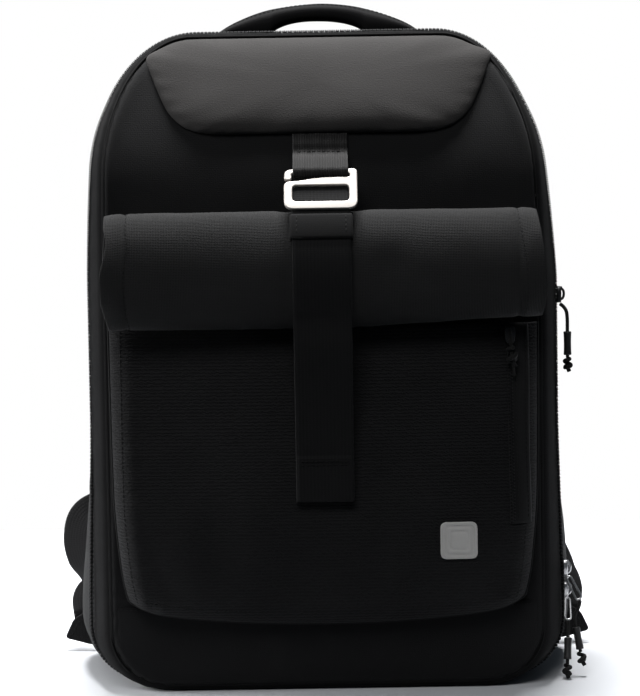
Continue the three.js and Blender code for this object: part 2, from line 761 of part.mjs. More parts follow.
// Where the hook's lower edge lies: in front of the strap's outer layer as it leaves the roll.
const HOOK_FOOT = rollPoint(STRAP_LEAVES_ROLL, LAYER_OUT)
  .addScaledVector(HOOK_OUT, STRAP_THICK / 2 + GAP + HOOK_THICK / 2)
  .addScaledVector(HOOK_UP, 1);

function onHook(up, out) {
  return HOOK_FOOT.clone().addScaledVector(HOOK_UP, up).addScaledVector(HOOK_OUT, out);
}

function aroundBar(middle, radius, fromDegrees, toDegrees, steps) {
  return shares(steps).map((share) => {
    const angle = (mix(fromDegrees, toDegrees, share) * Math.PI) / 180;
    return middle.clone().add(new THREE.Vector2(Math.cos(angle), Math.sin(angle)).multiplyScalar(radius));
  });
}

const UP_DEGREES = 90 - HOOK_TILT;

function strapPath() {
  const bar = onHook(HOOK_BAR_UP, -HOOK_BAR_BEHIND);
  const onPouch = [0, 0.35, 0.615].map((share) => {
    const z = mix(STRAP_ANCHOR, POUCH_TOP, share);
    return new THREE.Vector2(pouchFace(0, z) - SEAT - STRAP_THICK / 2, z);
  });
  const inward = [245, 225, 205, 185, 165, 150, 134, STRAP_LEAVES_ROLL, 104];
  const outward = [STRAP_LEAVES_ROLL, 134, 150, 165, 185, 205, 222];
  const round = HOOK_BAR_RADIUS + GAP + STRAP_THICK / 2;
  const lower = inward.map((angle) => rollPoint(angle, LAYER_IN));
  const turn = aroundBar(bar, round, UP_DEGREES - 95, UP_DEGREES + 90, 6);
  const over = onHook(HOOK_LOWER_BAR / 2, -(HOOK_THICK / 2 + GAP + STRAP_THICK / 2));
  const upper = outward.map((angle) => rollPoint(angle, LAYER_OUT));
  const rollFront = upper[upper.length - 1];
  const rest = pouchFace(0, STRAP_END) - STRAP_HANG;
  const hang = STRAP_FALL.map((row) => {
    const z = mix(STRAP_END, rollFront.y, row.up);
    return new THREE.Vector2(mix(rest, rollFront.x, row.out), z);
  });
  const hem = [STRAP_HEM + HEM_STEP, STRAP_HEM, 0].map((up) => new THREE.Vector2(rest, STRAP_END + up));
  return [...onPouch, ...lower, ...turn, over, ...upper, ...hang, ...hem];
}

function strap() {
  const path = strapPath();
  const hemStart = path.length - 2;
  const thickness = (i) => (i >= hemStart ? STRAP_THICK * 2 : STRAP_THICK);
  return crossStrip(stripShape(path, thickness), STRAP_WIDTH);
}

add("front_strap", strap(), webbing);

// The keeper's ends, in degrees round the roll
const KEEPER_HIGH = 124;
const KEEPER_LOW = 148;

function keeper() {
  const middle = (LAYER_IN + LAYER_OUT) / 2;
  const inside = LAYER_OUT - LAYER_IN + STRAP_THICK + 2 * GAP;
  const along = (from, to) => shares(4).map((share) => rollPoint(mix(from, to, share), middle));
  const shell = crossStrip(
    stripShape(along(KEEPER_HIGH, KEEPER_LOW), () => inside + 2 * KEEPER_WALL),
    STRAP_WIDTH + 2 * GAP + 2 * KEEPER_WALL,
  );
  const past = along(KEEPER_HIGH - 8, KEEPER_LOW + 8);
  const bore = crossStrip(stripShape(past, () => inside), STRAP_WIDTH + 2 * GAP);
  return geometryOf(solidOf(shell).subtract(solidOf(bore)));
}

add("strap_keeper", keeper(), webbing);

// The hook's flat outline: a frame with one slot, and a top bar that is open at its left end.
function hookShape() {
  const half = HOOK_WIDTH / 2;
  const inner = half - HOOK_LEG;
  const corners = [
    [-half, 0], [half, 0], [half, HOOK_HEIGHT], [-half, HOOK_HEIGHT], [-half, HOOK_TIP_LOW],
    [-inner, HOOK_TIP_LOW], [-inner, HOOK_TOP_BAR_LOW], [inner, HOOK_TOP_BAR_LOW],
    [inner, HOOK_MIDDLE_HIGH_RIGHT], [-inner * 0.3, HOOK_MIDDLE_HIGH_RIGHT - 0.4],
    [-inner, HOOK_MIDDLE_HIGH], [-half, HOOK_MIDDLE_HIGH],
  ].map(([x, y]) => new THREE.Vector2(x, y));
  const shape = roundedShape(corners, 3);
  const slotHeight = HOOK_MIDDLE_LOW - HOOK_LOWER_BAR;
  const slotMiddle = (HOOK_MIDDLE_LOW + HOOK_LOWER_BAR) / 2;
  shape.holes.push(roundedShape(rectangle(2 * inner, slotHeight, 0, slotMiddle), 2));
  return shape;
}

// A round bar behind the slot, with an ear at each end that joins it to the frame.
function hookBar() {
  const inner = HOOK_WIDTH / 2 - HOOK_LEG;
  const bar = new THREE.CylinderGeometry(HOOK_BAR_RADIUS, HOOK_BAR_RADIUS, 2 * inner + 4, 10);
  bar.rotateZ(Math.PI / 2).translate(0, HOOK_BAR_UP, -HOOK_BAR_BEHIND);
  const depth = HOOK_BAR_BEHIND + HOOK_BAR_RADIUS;
  const ears = [-1, 1].map((side) => {
    const ear = new THREE.BoxGeometry(HOOK_LEG - 2.4, 2 * HOOK_BAR_RADIUS, depth);
    return ear.translate(side * (inner + HOOK_LEG / 2 - 0.4), HOOK_BAR_UP, -depth / 2);
  });
  return [bar, ...ears];
}

function hook() {
  const frame = solidOf(plate(hookShape(), HOOK_THICK));
  return geometryOf(hookBar().reduce((whole, piece) => whole.add(solidOf(piece)), frame));
}

const hookMesh = add("g_hook_buckle", hook(), hookMetal);
hookMesh.position.set(0, HOOK_FOOT.x, HOOK_FOOT.y);
hookMesh.rotation.x = Math.PI / 2 - (HOOK_TILT * Math.PI) / 180;

// Webbing sewn under the top pocket, looped round the hook's top bar.
function anchorLoopPath() {
  const bar = onHook((HOOK_TOP_BAR_LOW + HOOK_HEIGHT) / 2, 0);
  const corner = Math.hypot((HOOK_HEIGHT - HOOK_TOP_BAR_LOW) / 2, HOOK_THICK / 2);
  const radius = corner + GAP + LOOP_THICK / 2;
  const tab = [TAB_TOP, mix(TAB_TOP, TAB_SEAM, 0.5), TAB_SEAM];
  const layer = (z, count) => {
    const off = SEAT + LOOP_THICK / 2 + count * (LOOP_THICK + GAP);
    return new THREE.Vector2(frontFace(0, z) - off, z);
  };
  const behind = tab.map((z) => layer(z, 0));
  const front = tab.map((z) => layer(z, 1)).reverse();
  const bulge = bar.clone().lerp(front[0], 0.5).add(new THREE.Vector2(-LOOP_THICK, LOOP_THICK * 1.6));
  return [...behind, ...aroundBar(bar, radius, 306, 126, 9), bulge, ...front];
}

// The loop's tab is sewn in under the top pocket's lower edge.
const TAB_TUCK = 3.5;
const TAB_LENGTH = 13;
const TAB_TOP = BAG_HEIGHT - FRONT_TOP_INSET - TOP_POCKET_HEIGHT + TAB_TUCK;
const TAB_SEAM = TAB_TOP - TAB_LENGTH;

add("buckle_anchor_loop", crossStrip(stripShape(anchorLoopPath(), () => LOOP_THICK), LOOP_WIDTH), webbing);

// Small tabs at the roll's ends, sewn to the front panel beside it. down and out are distances
// from the roll's top and from its end.
const ROLL_TAB_WIDTH = 9;
const ROLL_TAB_THICK = 1.6;
const ROLL_TAB = [
  { down: 8, out: -4 },
  { down: 28, out: -2 },
  { down: 52, out: 0 },
];

function rollTab(side) {
  const stops = ROLL_TAB.map(({ down, out }) => {
    const [x, z] = [side * (ROLL_WIDTH / 2 + out), ROLL_TOP - down];
    return {
      at: new THREE.Vector3(x, frontFace(x, z) - SEAT - ROLL_TAB_THICK / 2, z),
      across: new THREE.Vector3(1, 0, 0),
      width: ROLL_TAB_WIDTH,
      thick: ROLL_TAB_THICK,
    };
  });
  return sweep(stops, FLAT_SECTION);
}

add("roll_tab_left", rollTab(-1), webbing);
add("roll_tab_right", rollTab(1), webbing);

// Pouch zip: a cloth strip with its chain along the inner edge
const POUCH_ZIP_TOP = POUCH_TOP - 1;
const POUCH_ZIP_ACROSS = 136.8;
const POUCH_CHAIN = 4;
const POUCH_CHAIN_RISE = 1.2;
const POUCH_CHAIN_SLOPE = 0.6;

function pouchZip() {
  const w = POUCH_ZIP_WIDTH / 2;
  const inner = -w + POUCH_CHAIN;
  const chainTop = 1 + POUCH_CHAIN_RISE / POUCH_ZIP_THICK;
  const columns = [
    [-w, 0], [0, 0], [w * 0.4, 0], [w * 0.7, 0], [w, 0],
    [w, 1], [w * 0.7, 1], [w * 0.4, 1], [0, 1], [inner, 1],
    [inner - POUCH_CHAIN_SLOPE, chainTop], [-w + POUCH_CHAIN_SLOPE, chainTop], [-w, 1],
  ];
  const rings = shares(14).map((share) => {
    const z = POUCH_ZIP_TOP - POUCH_ZIP_LENGTH * share;
    return columns.map(([dx, out]) => {
      const x = POUCH_ZIP_ACROSS + dx;
      return new THREE.Vector3(x, pouchFace(x, z) - SEAT - out * POUCH_ZIP_THICK, z);
    });
  });
  return loft(rings);
}

add("front_zip", pouchZip(), zipCloth);

// Patch: a plain square with a raised square inside its rim
const PATCH_CORNER = 3.4;
const PATCH_RIM = 2.5;
const PATCH_GROOVE = 2;
const PATCH_RECESS = 0.5;
const PATCH_ISLAND_DROP = 0.3;

function patchPlate(side, corner, thickness, up) {
  const flat = plate(roundedShape(rectangle(side, side), corner), thickness);
  return solidOf(flat.translate(0, 0, up));
}

function patch() {
  const within = PATCH_SIDE - 2 * PATCH_RIM;
  const island = within - 2 * PATCH_GROOVE;
  const top = PATCH_THICK / 2;
  const base = patchPlate(PATCH_SIDE, PATCH_CORNER, PATCH_THICK, 0);
  const cut = patchPlate(within, PATCH_CORNER * 0.6, 2 * PATCH_RECESS, top);
  const kept = patchPlate(island, PATCH_CORNER * 0.5, 2 * PATCH_RECESS, top - PATCH_ISLAND_DROP);
  return geometryOf(base.subtract(cut).add(kept));
}

// The direction straight out of a front face at a place.
function outOf(face, x, z) {
  const reach = 5;
  const across = (face(x + reach, z) - face(x - reach, z)) / (2 * reach);
  const up = (face(x, z + reach) - face(x, z - reach)) / (2 * reach);
  return new THREE.Vector3(across, -1, up).normalize();
}

const patchMesh = add("patch", patch(), rubber);
patchMesh.position.set(
  PATCH_ACROSS,
  pouchFace(PATCH_ACROSS, PATCH_UP) - SEAT - PATCH_THICK / 2,
  PATCH_UP,
);
turnTo(patchMesh, outOf(pouchFace, PATCH_ACROSS, PATCH_UP));

// Carry handle: a padded arch that stands on the top
function handle() {
  const outer = shares(20).map((share) => {
    const x = (share - 0.5) * HANDLE_SPAN;
    return new THREE.Vector2(x, HANDLE_RISE * Math.max(0, 1 - (2 * share - 1) ** 2) ** 0.8);
  });
  const inner = shares(12).map((share) => {
    const x = (0.5 - share) * HANDLE_GAP_SPAN;
    return new THREE.Vector2(x, HANDLE_GAP_RISE * Math.sqrt(Math.max(0, 1 - (2 * share - 1) ** 2)));
  });
  outer[0].y = 0;
  outer[outer.length - 1].y = 0;
  const rightFoot = new THREE.Vector2(HANDLE_GAP_SPAN / 2, 0);
  const leftFoot = new THREE.Vector2(-HANDLE_GAP_SPAN / 2, 0);
  const shape = new THREE.Shape([...outer, rightFoot, ...inner.slice(1, -1), leftFoot]);
  return plate(shape, HANDLE_WIDTH);
}

const handleMesh = add("carry_handle", handle(), webbing);
handleMesh.position.set(0, HANDLE_BACK, BAG_HEIGHT + GAP);
handleMesh.rotation.x = Math.PI / 2;

// Back pads and shoulder straps
const SIDES = [["left", -1], ["right", 1]];

function backPadEdge(side) {
  const middle = side * (PAD_GAP / 2 + BACK_PAD_WIDTH / 2);
  const corners = rectangle(BACK_PAD_WIDTH, BACK_PAD_HEIGHT, middle, PAD_BASE + BACK_PAD_HEIGHT / 2);
  const points = roundedShape(corners, BACK_PAD_CORNER).getSpacedPoints(30);
  return points.slice(0, -1).map((point) => [point.x, point.y]);
}

function shoulderStops(side) {
  return SHOULDER_ROUTE.map((row) => ({
    at: new THREE.Vector3(
      (side * row.across * BAG_WIDTH) / 2,
      BACK_Y + SEAT + SHOULDER_THICK / 2 + row.out * SHOULDER_REACH,
      row.up * BAG_HEIGHT,
    ),
    across: new THREE.Vector3(side, 0, 0),
    width: SHOULDER_WIDTH * row.width,
    thick: SHOULDER_THICK,
  }));
}

// A place in line with the padded strap, a distance past its lower end.
function pastStrap(side, distance) {
  const [before, end] = shoulderStops(side).slice(-2).map((stop) => stop.at);
  return end.clone().addScaledVector(end.clone().sub(before).normalize(), distance);
}

function webbingStops(name, side) {
  const start = {
    at: pastStrap(side, ADJUSTER_HEIGHT + WEBBING_STEP),
    across: new THREE.Vector3(side, 0, 0.45),
    width: WEBBING_WIDTH,
    thick: WEBBING_THICK,
  };
  const stops = WEBBING_ROUTE[name].map((row) => ({
    at: new THREE.Vector3(
      (side * row.across * BAG_WIDTH) / 2,
      BACK_Y + row.out * SHOULDER_REACH,
      row.up * BAG_HEIGHT,
    ),
    across: new THREE.Vector3(side * row.wideX, row.wideY, row.wideZ),
    width: WEBBING_WIDTH,
    thick: WEBBING_THICK,
  }));
  return [start, ...stops];
}

function wing(side) {
  const corners = WING_CORNERS.map((row) => {
    return new THREE.Vector2((side * row.across * BAG_WIDTH) / 2, row.up * BAG_HEIGHT);
  });
  return plate(roundedShape(side < 0 ? corners.reverse() : corners, 4), WING_THICK);
}

function adjuster() {
  const shape = roundedShape(rectangle(ADJUSTER_WIDTH, ADJUSTER_HEIGHT), 4);
  [-1, 1].forEach((side) => {
    const slot = rectangle(WEBBING_WIDTH + 1, 5, 0, side * ADJUSTER_HEIGHT * 0.22);
    shape.holes.push(roundedShape(slot, 1.5));
  });
  return plate(shape, ADJUSTER_THICK);
}

SIDES.forEach(([name, side]) => {
  add(`back_pad_${name}`, pillow(backPadEdge(side), backFace, 1, BACK_PAD_BULGE), meshCloth);
  add(`shoulder_strap_${name}`, sweep(shoulderStops(side), SOFT_SECTION), meshCloth);
  add(`strap_webbing_${name}`, sweep(webbingStops(name, side), FLAT_SECTION), webbing);
  const wingMesh = add(`anchor_wing_${name}`, wing(side), webbing);
  wingMesh.position.set(0, BACK_Y + SEAT + WING_THICK / 2, 0);
  wingMesh.rotation.x = Math.PI / 2;
  const holder = add(`strap_adjuster_${name}`, adjuster(), plastic);
  holder.position.copy(pastStrap(side, ADJUSTER_HEIGHT / 2 + 2 * GAP));
  turnTo(holder, new THREE.Vector3(0, 1, 0), shoulderStops(side).pop().at.sub(holder.position));
});

// Zip sliders with their pulls. The main zip's chain stands at the side; up gives each place.
const CHAIN_Y = FRONT_Y + ZIP_FROM_FRONT;

// The outside of the zip chain on the right side at a height.
function chainSide(z) {
  const ring = bodyRing(ZIP_FROM_FRONT / BAG_DEPTH, -ZIP_CHAIN_RISE);
  const right = ring.filter((point) => point.x > 0 && point.z > BASE_CORNER_HIGH - 1);
  const above = right.findIndex((point) => point.z >= z);
  const [a, b] = [right[Math.max(above - 1, 0)], right[above]];
  return mix(a.x, b.x, (z - a.z) / (b.z - a.z));
}

function slider() {
  const w = SLIDER_WIDTH / 2;
  const l = SLIDER_LENGTH / 2;
  const corners = [[-w * 0.7, -l], [w * 0.7, -l], [w, l * 0.2], [w * 0.8, l], [-w * 0.8, l], [-w, l * 0.2]];
  const shape = roundedShape(corners.map(([x, y]) => new THREE.Vector2(x, y)), 1.5);
  const body = solidOf(plate(shape, SLIDER_THICK));
  const bridge = new THREE.BoxGeometry(2.4, SLIDER_LENGTH * 0.6, 4);
  return geometryOf(body.add(solidOf(bridge.translate(0, 0, SLIDER_THICK / 2 + 1))));
}

const MAIN_SLIDERS = [
  { name: "upper", up: 278 },
  { name: "lower_a", up: 78 },
  { name: "lower_b", up: 62.5 },
];

// The place on the main zip's chain where a slider sits, moved by an offset.
function fromSeat(name, offset) {
  const { up } = MAIN_SLIDERS.find((row) => row.name === name);
  return new THREE.Vector3(chainSide(up), CHAIN_Y, up).add(new THREE.Vector3(...offset));
}

MAIN_SLIDERS.forEach(({ name }) => {
  const mesh = add(`zip_slider_${name}`, slider(), darkMetal);
  mesh.position.copy(fromSeat(name, [GAP * 2 + SLIDER_THICK / 2, 0, 0]));
  turnTo(mesh, new THREE.Vector3(1, 0, 0));
});

// Slider of the pouch zip, just under the roll
const POUCH_SLIDER_DROP = 2;
const POUCH_SLIDER_UP = ROLL_TOP - 2 * ROLL_HALF_HEIGHT - POUCH_SLIDER_DROP;
const POUCH_SLIDER_ACROSS = POUCH_ZIP_ACROSS - POUCH_ZIP_WIDTH / 2 + POUCH_CHAIN / 2;
const POUCH_SLIDER_Y = pouchFace(POUCH_SLIDER_ACROSS, POUCH_SLIDER_UP)
  - SEAT - POUCH_ZIP_THICK - POUCH_CHAIN_RISE - GAP * 2 - SLIDER_THICK / 2;

const pouchSlider = add("zip_slider_front", slider(), darkMetal);
pouchSlider.position.set(POUCH_SLIDER_ACROSS, POUCH_SLIDER_Y, POUCH_SLIDER_UP);
turnTo(pouchSlider, outOf(pouchFace, POUCH_SLIDER_ACROSS, POUCH_SLIDER_UP));

// Wire pullers of the two lower sliders, hanging from top to foot. Both are offsets from the
// slider's seat.
const PULLER_WIDTH = 6;
const PULLERS = [
  { name: "lower_a", top: [3.48, -4, -5.2], foot: [11.88, -8, -22.5] },
  { name: "lower_b", top: [3.06, -4, -5.2], foot: [2.66, -11, -21.5] },
];

function puller(length) {
  const shape = roundedShape(rectangle(PULLER_WIDTH, length), PULLER_WIDTH / 2);
  const inside = rectangle(PULLER_WIDTH - 2 * PULLER_WIRE, length - 2 * PULLER_WIRE);
  shape.holes.push(roundedShape(inside, PULLER_WIDTH / 2 - PULLER_WIRE));
  return plate(shape, PULLER_WIRE);
}

PULLERS.forEach(({ name, top, foot }) => {
  const [from, to] = [fromSeat(name, top), fromSeat(name, foot)];
  const mesh = add(`zip_puller_${name}`, puller(from.distanceTo(to)), darkMetal);
  mesh.position.copy(from.clone().lerp(to, 0.5));
  const along = from.clone().sub(to).normalize();
  const out = new THREE.Vector3(0, -1, 0).addScaledVector(along, along.y);
  turnTo(mesh, out, along);
});

// Pull cords hang from the sliders and pullers to their end knots, as offsets from the slider's
// seat.
const CORD_ROUTES = {
  upper: [
    [2.97, -0.1, -6.9], [5.37, -1, -9], [7.37, -1.8, -12.4], [7.97, -2, -18],
    [7.97, -2, -24], [7.97, -2, -31], [7.97, -2, -38], [7.97, -2, -46],
  ],
  lower_a: [
    [11.98, -8.1, -22.9], [11.08, -8.7, -27], [9.08, -9.2, -31], [7.88, -9.6, -34.5],
    [7.88, -10, -38], [9.08, -10.6, -45], [10.38, -11.3, -52.5], [11.68, -12, -60],
  ],
  lower_b: [
    [2.61, -11.15, -21.9], [2.66, -12.2, -24.9], [2.46, -13.8, -28.3], [2.16, -15.4, -31.5],
    [1.86, -16.9, -36.5], [1.56, -18.4, -41.5], [1.26, -19.9, -46.5], [0.96, -21.4, -51.5],
  ],
};

// Where each sleeve lies on its cord: between two places, as offsets like the cord's.
const SLEEVES = {
  upper: { from: [7.97, -2, -27], to: [7.97, -2, -44] },
  lower_a: { from: [8.58, -10.35, -42], to: [11.33, -11.8, -58] },
  lower_b: { from: [2.06, -15.9, -33.2], to: [1.16, -20.4, -48.1] },
};

const CORD_SIDES = 8;
const SLEEVE_ROOM = 0.35;

function cord(points) {
  const path = new THREE.CatmullRomCurve3(points);
  const section = new THREE.Shape(
    shares(CORD_SIDES).slice(0, -1).map((share) => {
      const angle = share * 2 * Math.PI;
      return new THREE.Vector2(Math.cos(angle), Math.sin(angle)).multiplyScalar(CORD_DIAMETER / 2);
    }),
  );
  const steps = Math.ceil(path.getLength() / (2.5 * CORD_DIAMETER));
  return new THREE.ExtrudeGeometry(section, { steps, extrudePath: path });
}

// A turned solid between two places, with an optional bore for the cord.
function turned(from, to, profile) {
  const length = from.distanceTo(to);
  const points = profile.map(([radius, share]) => new THREE.Vector2(radius, share * length));
  const geometry = new THREE.LatheGeometry(points, 8);
  const along = to.clone().sub(from).normalize();
  const turn = new THREE.Quaternion().setFromUnitVectors(new THREE.Vector3(0, 1, 0), along);
  geometry.applyQuaternion(turn).translate(from.x, from.y, from.z);
  return geometryOf(solidOf(geometry));
}

function sleeveProfile() {
  const outer = SLEEVE_DIAMETER / 2;
  const bore = Math.min(CORD_DIAMETER / 2 + SLEEVE_ROOM, outer - SLEEVE_WALL);
  return [[bore, 0], [outer, 0], [outer, 1], [bore, 1], [bore, 0]];
}

// Width of a knot along its length, out of KNOT_DIAMETER / 2.
const KNOT_PROFILE = [
  [0, 0], [0.45, 0], [0.95, 0.22], [1, 0.4],
  [0.7, 0.6], [0.45, 0.8], [0.4, 1], [0, 1],
];
const KNOT_LENGTH = 10;

function knotProfile() {
  return KNOT_PROFILE.map(([out, share]) => [(out * KNOT_DIAMETER) / 2, share]);
}

Object.entries(CORD_ROUTES).forEach(([name, route]) => {
  const points = route.map((offset) => fromSeat(name, offset));
  add(`pull_cord_${name}`, cord(points), cordCloth);
  const { from, to } = SLEEVES[name];
  const sleeve = turned(fromSeat(name, from), fromSeat(name, to), sleeveProfile());
  add(`cord_sleeve_${name}`, sleeve, plastic);
  const [before, end] = points.slice(-2);
  const along = end.clone().sub(before).normalize();
  const start = end.clone().addScaledVector(along, GAP);
  const tail = start.clone().addScaledVector(along, KNOT_LENGTH);
  add(`cord_knot_${name}`, turned(start, tail, knotProfile()), cordCloth);
});

// The front slider's cord is tied short, so that its knot is nearly all there is of it.
const FRONT_KNOT_LENGTH = 20;
const frontKnotTop = new THREE.Vector3(
  POUCH_SLIDER_ACROSS,
  POUCH_SLIDER_Y - 1,
  POUCH_SLIDER_UP - SLIDER_LENGTH / 2 - GAP,
);
const frontKnotFoot = frontKnotTop.clone().add(new THREE.Vector3(2, -6, -FRONT_KNOT_LENGTH));
const frontKnotProfile = [
  [0, 0], [1.5, 0], [1.6, 0.25], [3.6, 0.42],
  [3.9, 0.62], [2, 0.8], [1.4, 1], [0, 1],
];
add("pull_cord_front", turned(frontKnotTop, frontKnotFoot, frontKnotProfile), cordCloth);

export default group;
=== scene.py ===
"""Looks for a roll-top backpack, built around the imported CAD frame.

Sizes are in millimetres in this script and become metres where meshes are made.
+X is to the right seen from the front, +Z is up, and the front faces -Y.
"""

import math

import bpy
import numpy as np
from mathutils import Matrix, Vector


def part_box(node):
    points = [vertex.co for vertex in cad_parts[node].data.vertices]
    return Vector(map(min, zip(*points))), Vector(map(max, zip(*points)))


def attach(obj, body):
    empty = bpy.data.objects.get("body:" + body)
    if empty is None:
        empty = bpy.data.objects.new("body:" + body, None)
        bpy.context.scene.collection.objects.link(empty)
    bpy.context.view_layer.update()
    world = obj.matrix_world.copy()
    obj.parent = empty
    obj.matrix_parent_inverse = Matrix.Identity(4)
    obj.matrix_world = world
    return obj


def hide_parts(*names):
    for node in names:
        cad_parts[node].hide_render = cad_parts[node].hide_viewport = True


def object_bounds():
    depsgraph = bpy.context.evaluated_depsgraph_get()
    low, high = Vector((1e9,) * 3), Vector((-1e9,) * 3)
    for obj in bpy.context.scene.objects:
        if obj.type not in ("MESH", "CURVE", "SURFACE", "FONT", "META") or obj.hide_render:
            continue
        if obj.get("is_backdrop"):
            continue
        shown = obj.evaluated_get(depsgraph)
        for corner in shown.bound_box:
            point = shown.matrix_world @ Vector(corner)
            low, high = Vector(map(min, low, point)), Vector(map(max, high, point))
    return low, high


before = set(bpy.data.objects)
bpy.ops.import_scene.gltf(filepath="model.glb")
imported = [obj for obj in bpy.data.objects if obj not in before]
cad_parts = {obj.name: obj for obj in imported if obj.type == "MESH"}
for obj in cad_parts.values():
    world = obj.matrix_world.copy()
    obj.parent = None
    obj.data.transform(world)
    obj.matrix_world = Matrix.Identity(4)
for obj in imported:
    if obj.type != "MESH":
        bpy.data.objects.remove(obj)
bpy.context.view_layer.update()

MM = 0.001

# Body sizes, the same named values as the CAD source
BAG_HEIGHT = 470.0
BAG_WIDTH = 345.0
BAG_DEPTH = 164.0
FRONT_Y = -BAG_DEPTH / 2
BACK_Y = BAG_DEPTH / 2
TOP_CORNER_ACROSS, TOP_CORNER_HIGH = 80.0, 98.0
BASE_CORNER_ACROSS, BASE_CORNER_HIGH = 44.0, 40.0
FRONT_EDGE_INSET, FRONT_TOP_INSET, FRONT_BASE_LIFT = 18.0, 2.5, 3.0
FRONT_DOME, TOP_SETBACK, BASE_FLARE = 10.0, 42.0, 11.0
SHELL_WALL = 2.5
SEAT, GAP = 0.8, 0.3

# Body sections from front to back: depth, side, top, base, setback, dome, flare
SECTIONS = np.array([
    (0, 1, 1, 1, 1, 1, 0),
    (0.07, 0.62, 0.45, 0.35, 0.92, 0.35, 0.1),
    (0.24, 0.3, 0.1, 0, 0.6, 0, 0.25),
    (0.5, 0.04, 0, 0, 0.22, 0, 0.7),
    (0.72, 0, 0, 0, 0, 0, 1),
    (0.91, 0.15, 0.1, 0, 0, 0, 1),
    (0.985, 0.6, 0.7, 0.8, 0, 0, 0.9),
    (1, 1, 1.4, 2, 0, 0, 0.8),
])
FLARE_RISE = np.array([(0, 0.8), (0.1, 1), (0.2, 0.75), (0.3, 0.32), (0.42, 0), (0.62, 0),
                       (0.71, -0.25), (0.79, -0.6), (0.84, -0.8), (0.89, -1), (0.945, -1.1)])

# How far the top corners slump in, by share of the height: left, right
SLUMP = np.array([(0.62, 0, 0), (0.7, 0.3, 2), (0.78, 1, 4.5), (0.85, 2, 7.5), (0.9, 3, 10), (1, 3, 11)])


# Small working functions

def smooth(xs, ys, x):
    """A monotone cubic curve through the rows of a table, held at its ends."""
    xs, ys = np.asarray(xs, float), np.asarray(ys, float)
    h = np.diff(xs)
    d = np.diff(ys) / h
    m = np.zeros(len(xs))
    m[0], m[-1] = d[0], d[-1]
    for i in range(1, len(xs) - 1):
        if d[i - 1] * d[i] > 0:
            m[i] = 2 * d[i - 1] * d[i] / (d[i - 1] + d[i])
    x = np.clip(np.asarray(x, float), xs[0], xs[-1])
    i = np.clip(np.searchsorted(xs, x, side="right") - 1, 0, len(h) - 1)
    t = (x - xs[i]) / h[i]
    a = (2 * t**3 - 3 * t**2 + 1) * ys[i] + (t**3 - 2 * t**2 + t) * h[i] * m[i]
    return a + (3 * t**2 - 2 * t**3) * ys[i + 1] + (t**3 - t**2) * h[i] * m[i + 1]


def bell(x, middle, width):
    return np.exp(-(((x - middle) / width) ** 2))


def step(x, start, end):
    t = np.clip((x - start) / (end - start), 0, 1)
    return t * t * (3 - 2 * t)


def lattice(i, j, k):
    """Repeatable values from -1 to 1 at whole-numbered places."""
    n = np.sin(i * 127.1 + j * 311.7 + k * 74.7) * 43758.5453
    return 2 * (n - np.floor(n)) - 1


def noise3(points, scale, seed=0.0):
    """Soft noise from -1 to 1 over an array of points; scale is the size of its lumps."""
    q = points / scale + seed * 17.31
    base = np.floor(q)
    f = q - base
    f = f * f * (3 - 2 * f)
    total = 0
    for dx in (0, 1):
        for dy in (0, 1):
            for dz in (0, 1):
                w = (f[..., 0] if dx else 1 - f[..., 0]) * (f[..., 1] if dy else 1 - f[..., 1])
                w = w * (f[..., 2] if dz else 1 - f[..., 2])
                total = total + w * lattice(base[..., 0] + dx, base[..., 1] + dy, base[..., 2] + dz)
    return total


def normals_of(grid, wrap=False):
    """Unit normals of a grid of points, row by column; wrap joins the last column to the first."""
    down = np.gradient(grid, axis=0)
    if wrap:
        across = (np.roll(grid, -1, axis=1) - np.roll(grid, 1, axis=1)) / 2
    else:
        across = np.gradient(grid, axis=1)
    n = np.cross(across, down)
    return n / np.maximum(np.linalg.norm(n, axis=2, keepdims=True), 1e-9)


def outward(grid, wrap, centre):
    n = normals_of(grid, wrap)
    away = np.sum(n * (grid - np.asarray(centre, float)), axis=2)
    return n if np.median(away) >= 0 else -n


def along_path(points):
    d = np.linalg.norm(np.diff(points, axis=0), axis=1)
    return np.concatenate([[0], np.cumsum(d)])


def spline(points, spacing):
    """Points at an even spacing on a smooth curve through the given ones."""
    p = np.asarray(points, float)
    s = along_path(p)
    fine = np.linspace(0, s[-1], max(2, int(round(s[-1] / spacing)) + 1))
    ext = np.vstack([2 * p[0] - p[1], p, 2 * p[-1] - p[-2]])
    seg = np.clip(np.searchsorted(s, fine, side="right") - 1, 0, len(p) - 2)
    t = ((fine - s[seg]) / (s[seg + 1] - s[seg]))[:, None]
    a, b, c, d = ext[seg], ext[seg + 1], ext[seg + 2], ext[seg + 3]
    return 0.5 * (2 * b + (c - a) * t + (2 * a - 5 * b + 4 * c - d) * t**2
                  + (3 * b - a - 3 * c + d) * t**3)


def unit(v):
    v = np.asarray(v, float)
    return v / np.maximum(np.linalg.norm(v, axis=-1, keepdims=True), 1e-9)


# Making meshes

def make_mesh(name, points, faces, uvs=None, smooth_shaded=True):
    mesh = bpy.data.meshes.new(name)
    mesh.from_pydata([tuple(p * MM) for p in np.asarray(points, float)], [], faces)
    if uvs is not None:
        layer = mesh.uv_layers.new(name="UVMap")
        flat = np.asarray(uvs, float).reshape(-1, 2) * MM
        layer.data.foreach_set("uv", flat.ravel())
    mesh.validate()
    mesh.polygons.foreach_set("use_smooth", [smooth_shaded] * len(mesh.polygons))
    obj = bpy.data.objects.new(name, mesh)
    bpy.context.scene.collection.objects.link(obj)
    return obj


def grid_faces(rows, cols, wrap):
    faces = []
    for r in range(rows - 1):
        for c in range(cols if wrap else cols - 1):
            n = (c + 1) % cols
            faces.append((r * cols + c, r * cols + n, (r + 1) * cols + n, (r + 1) * cols + c))
    return faces


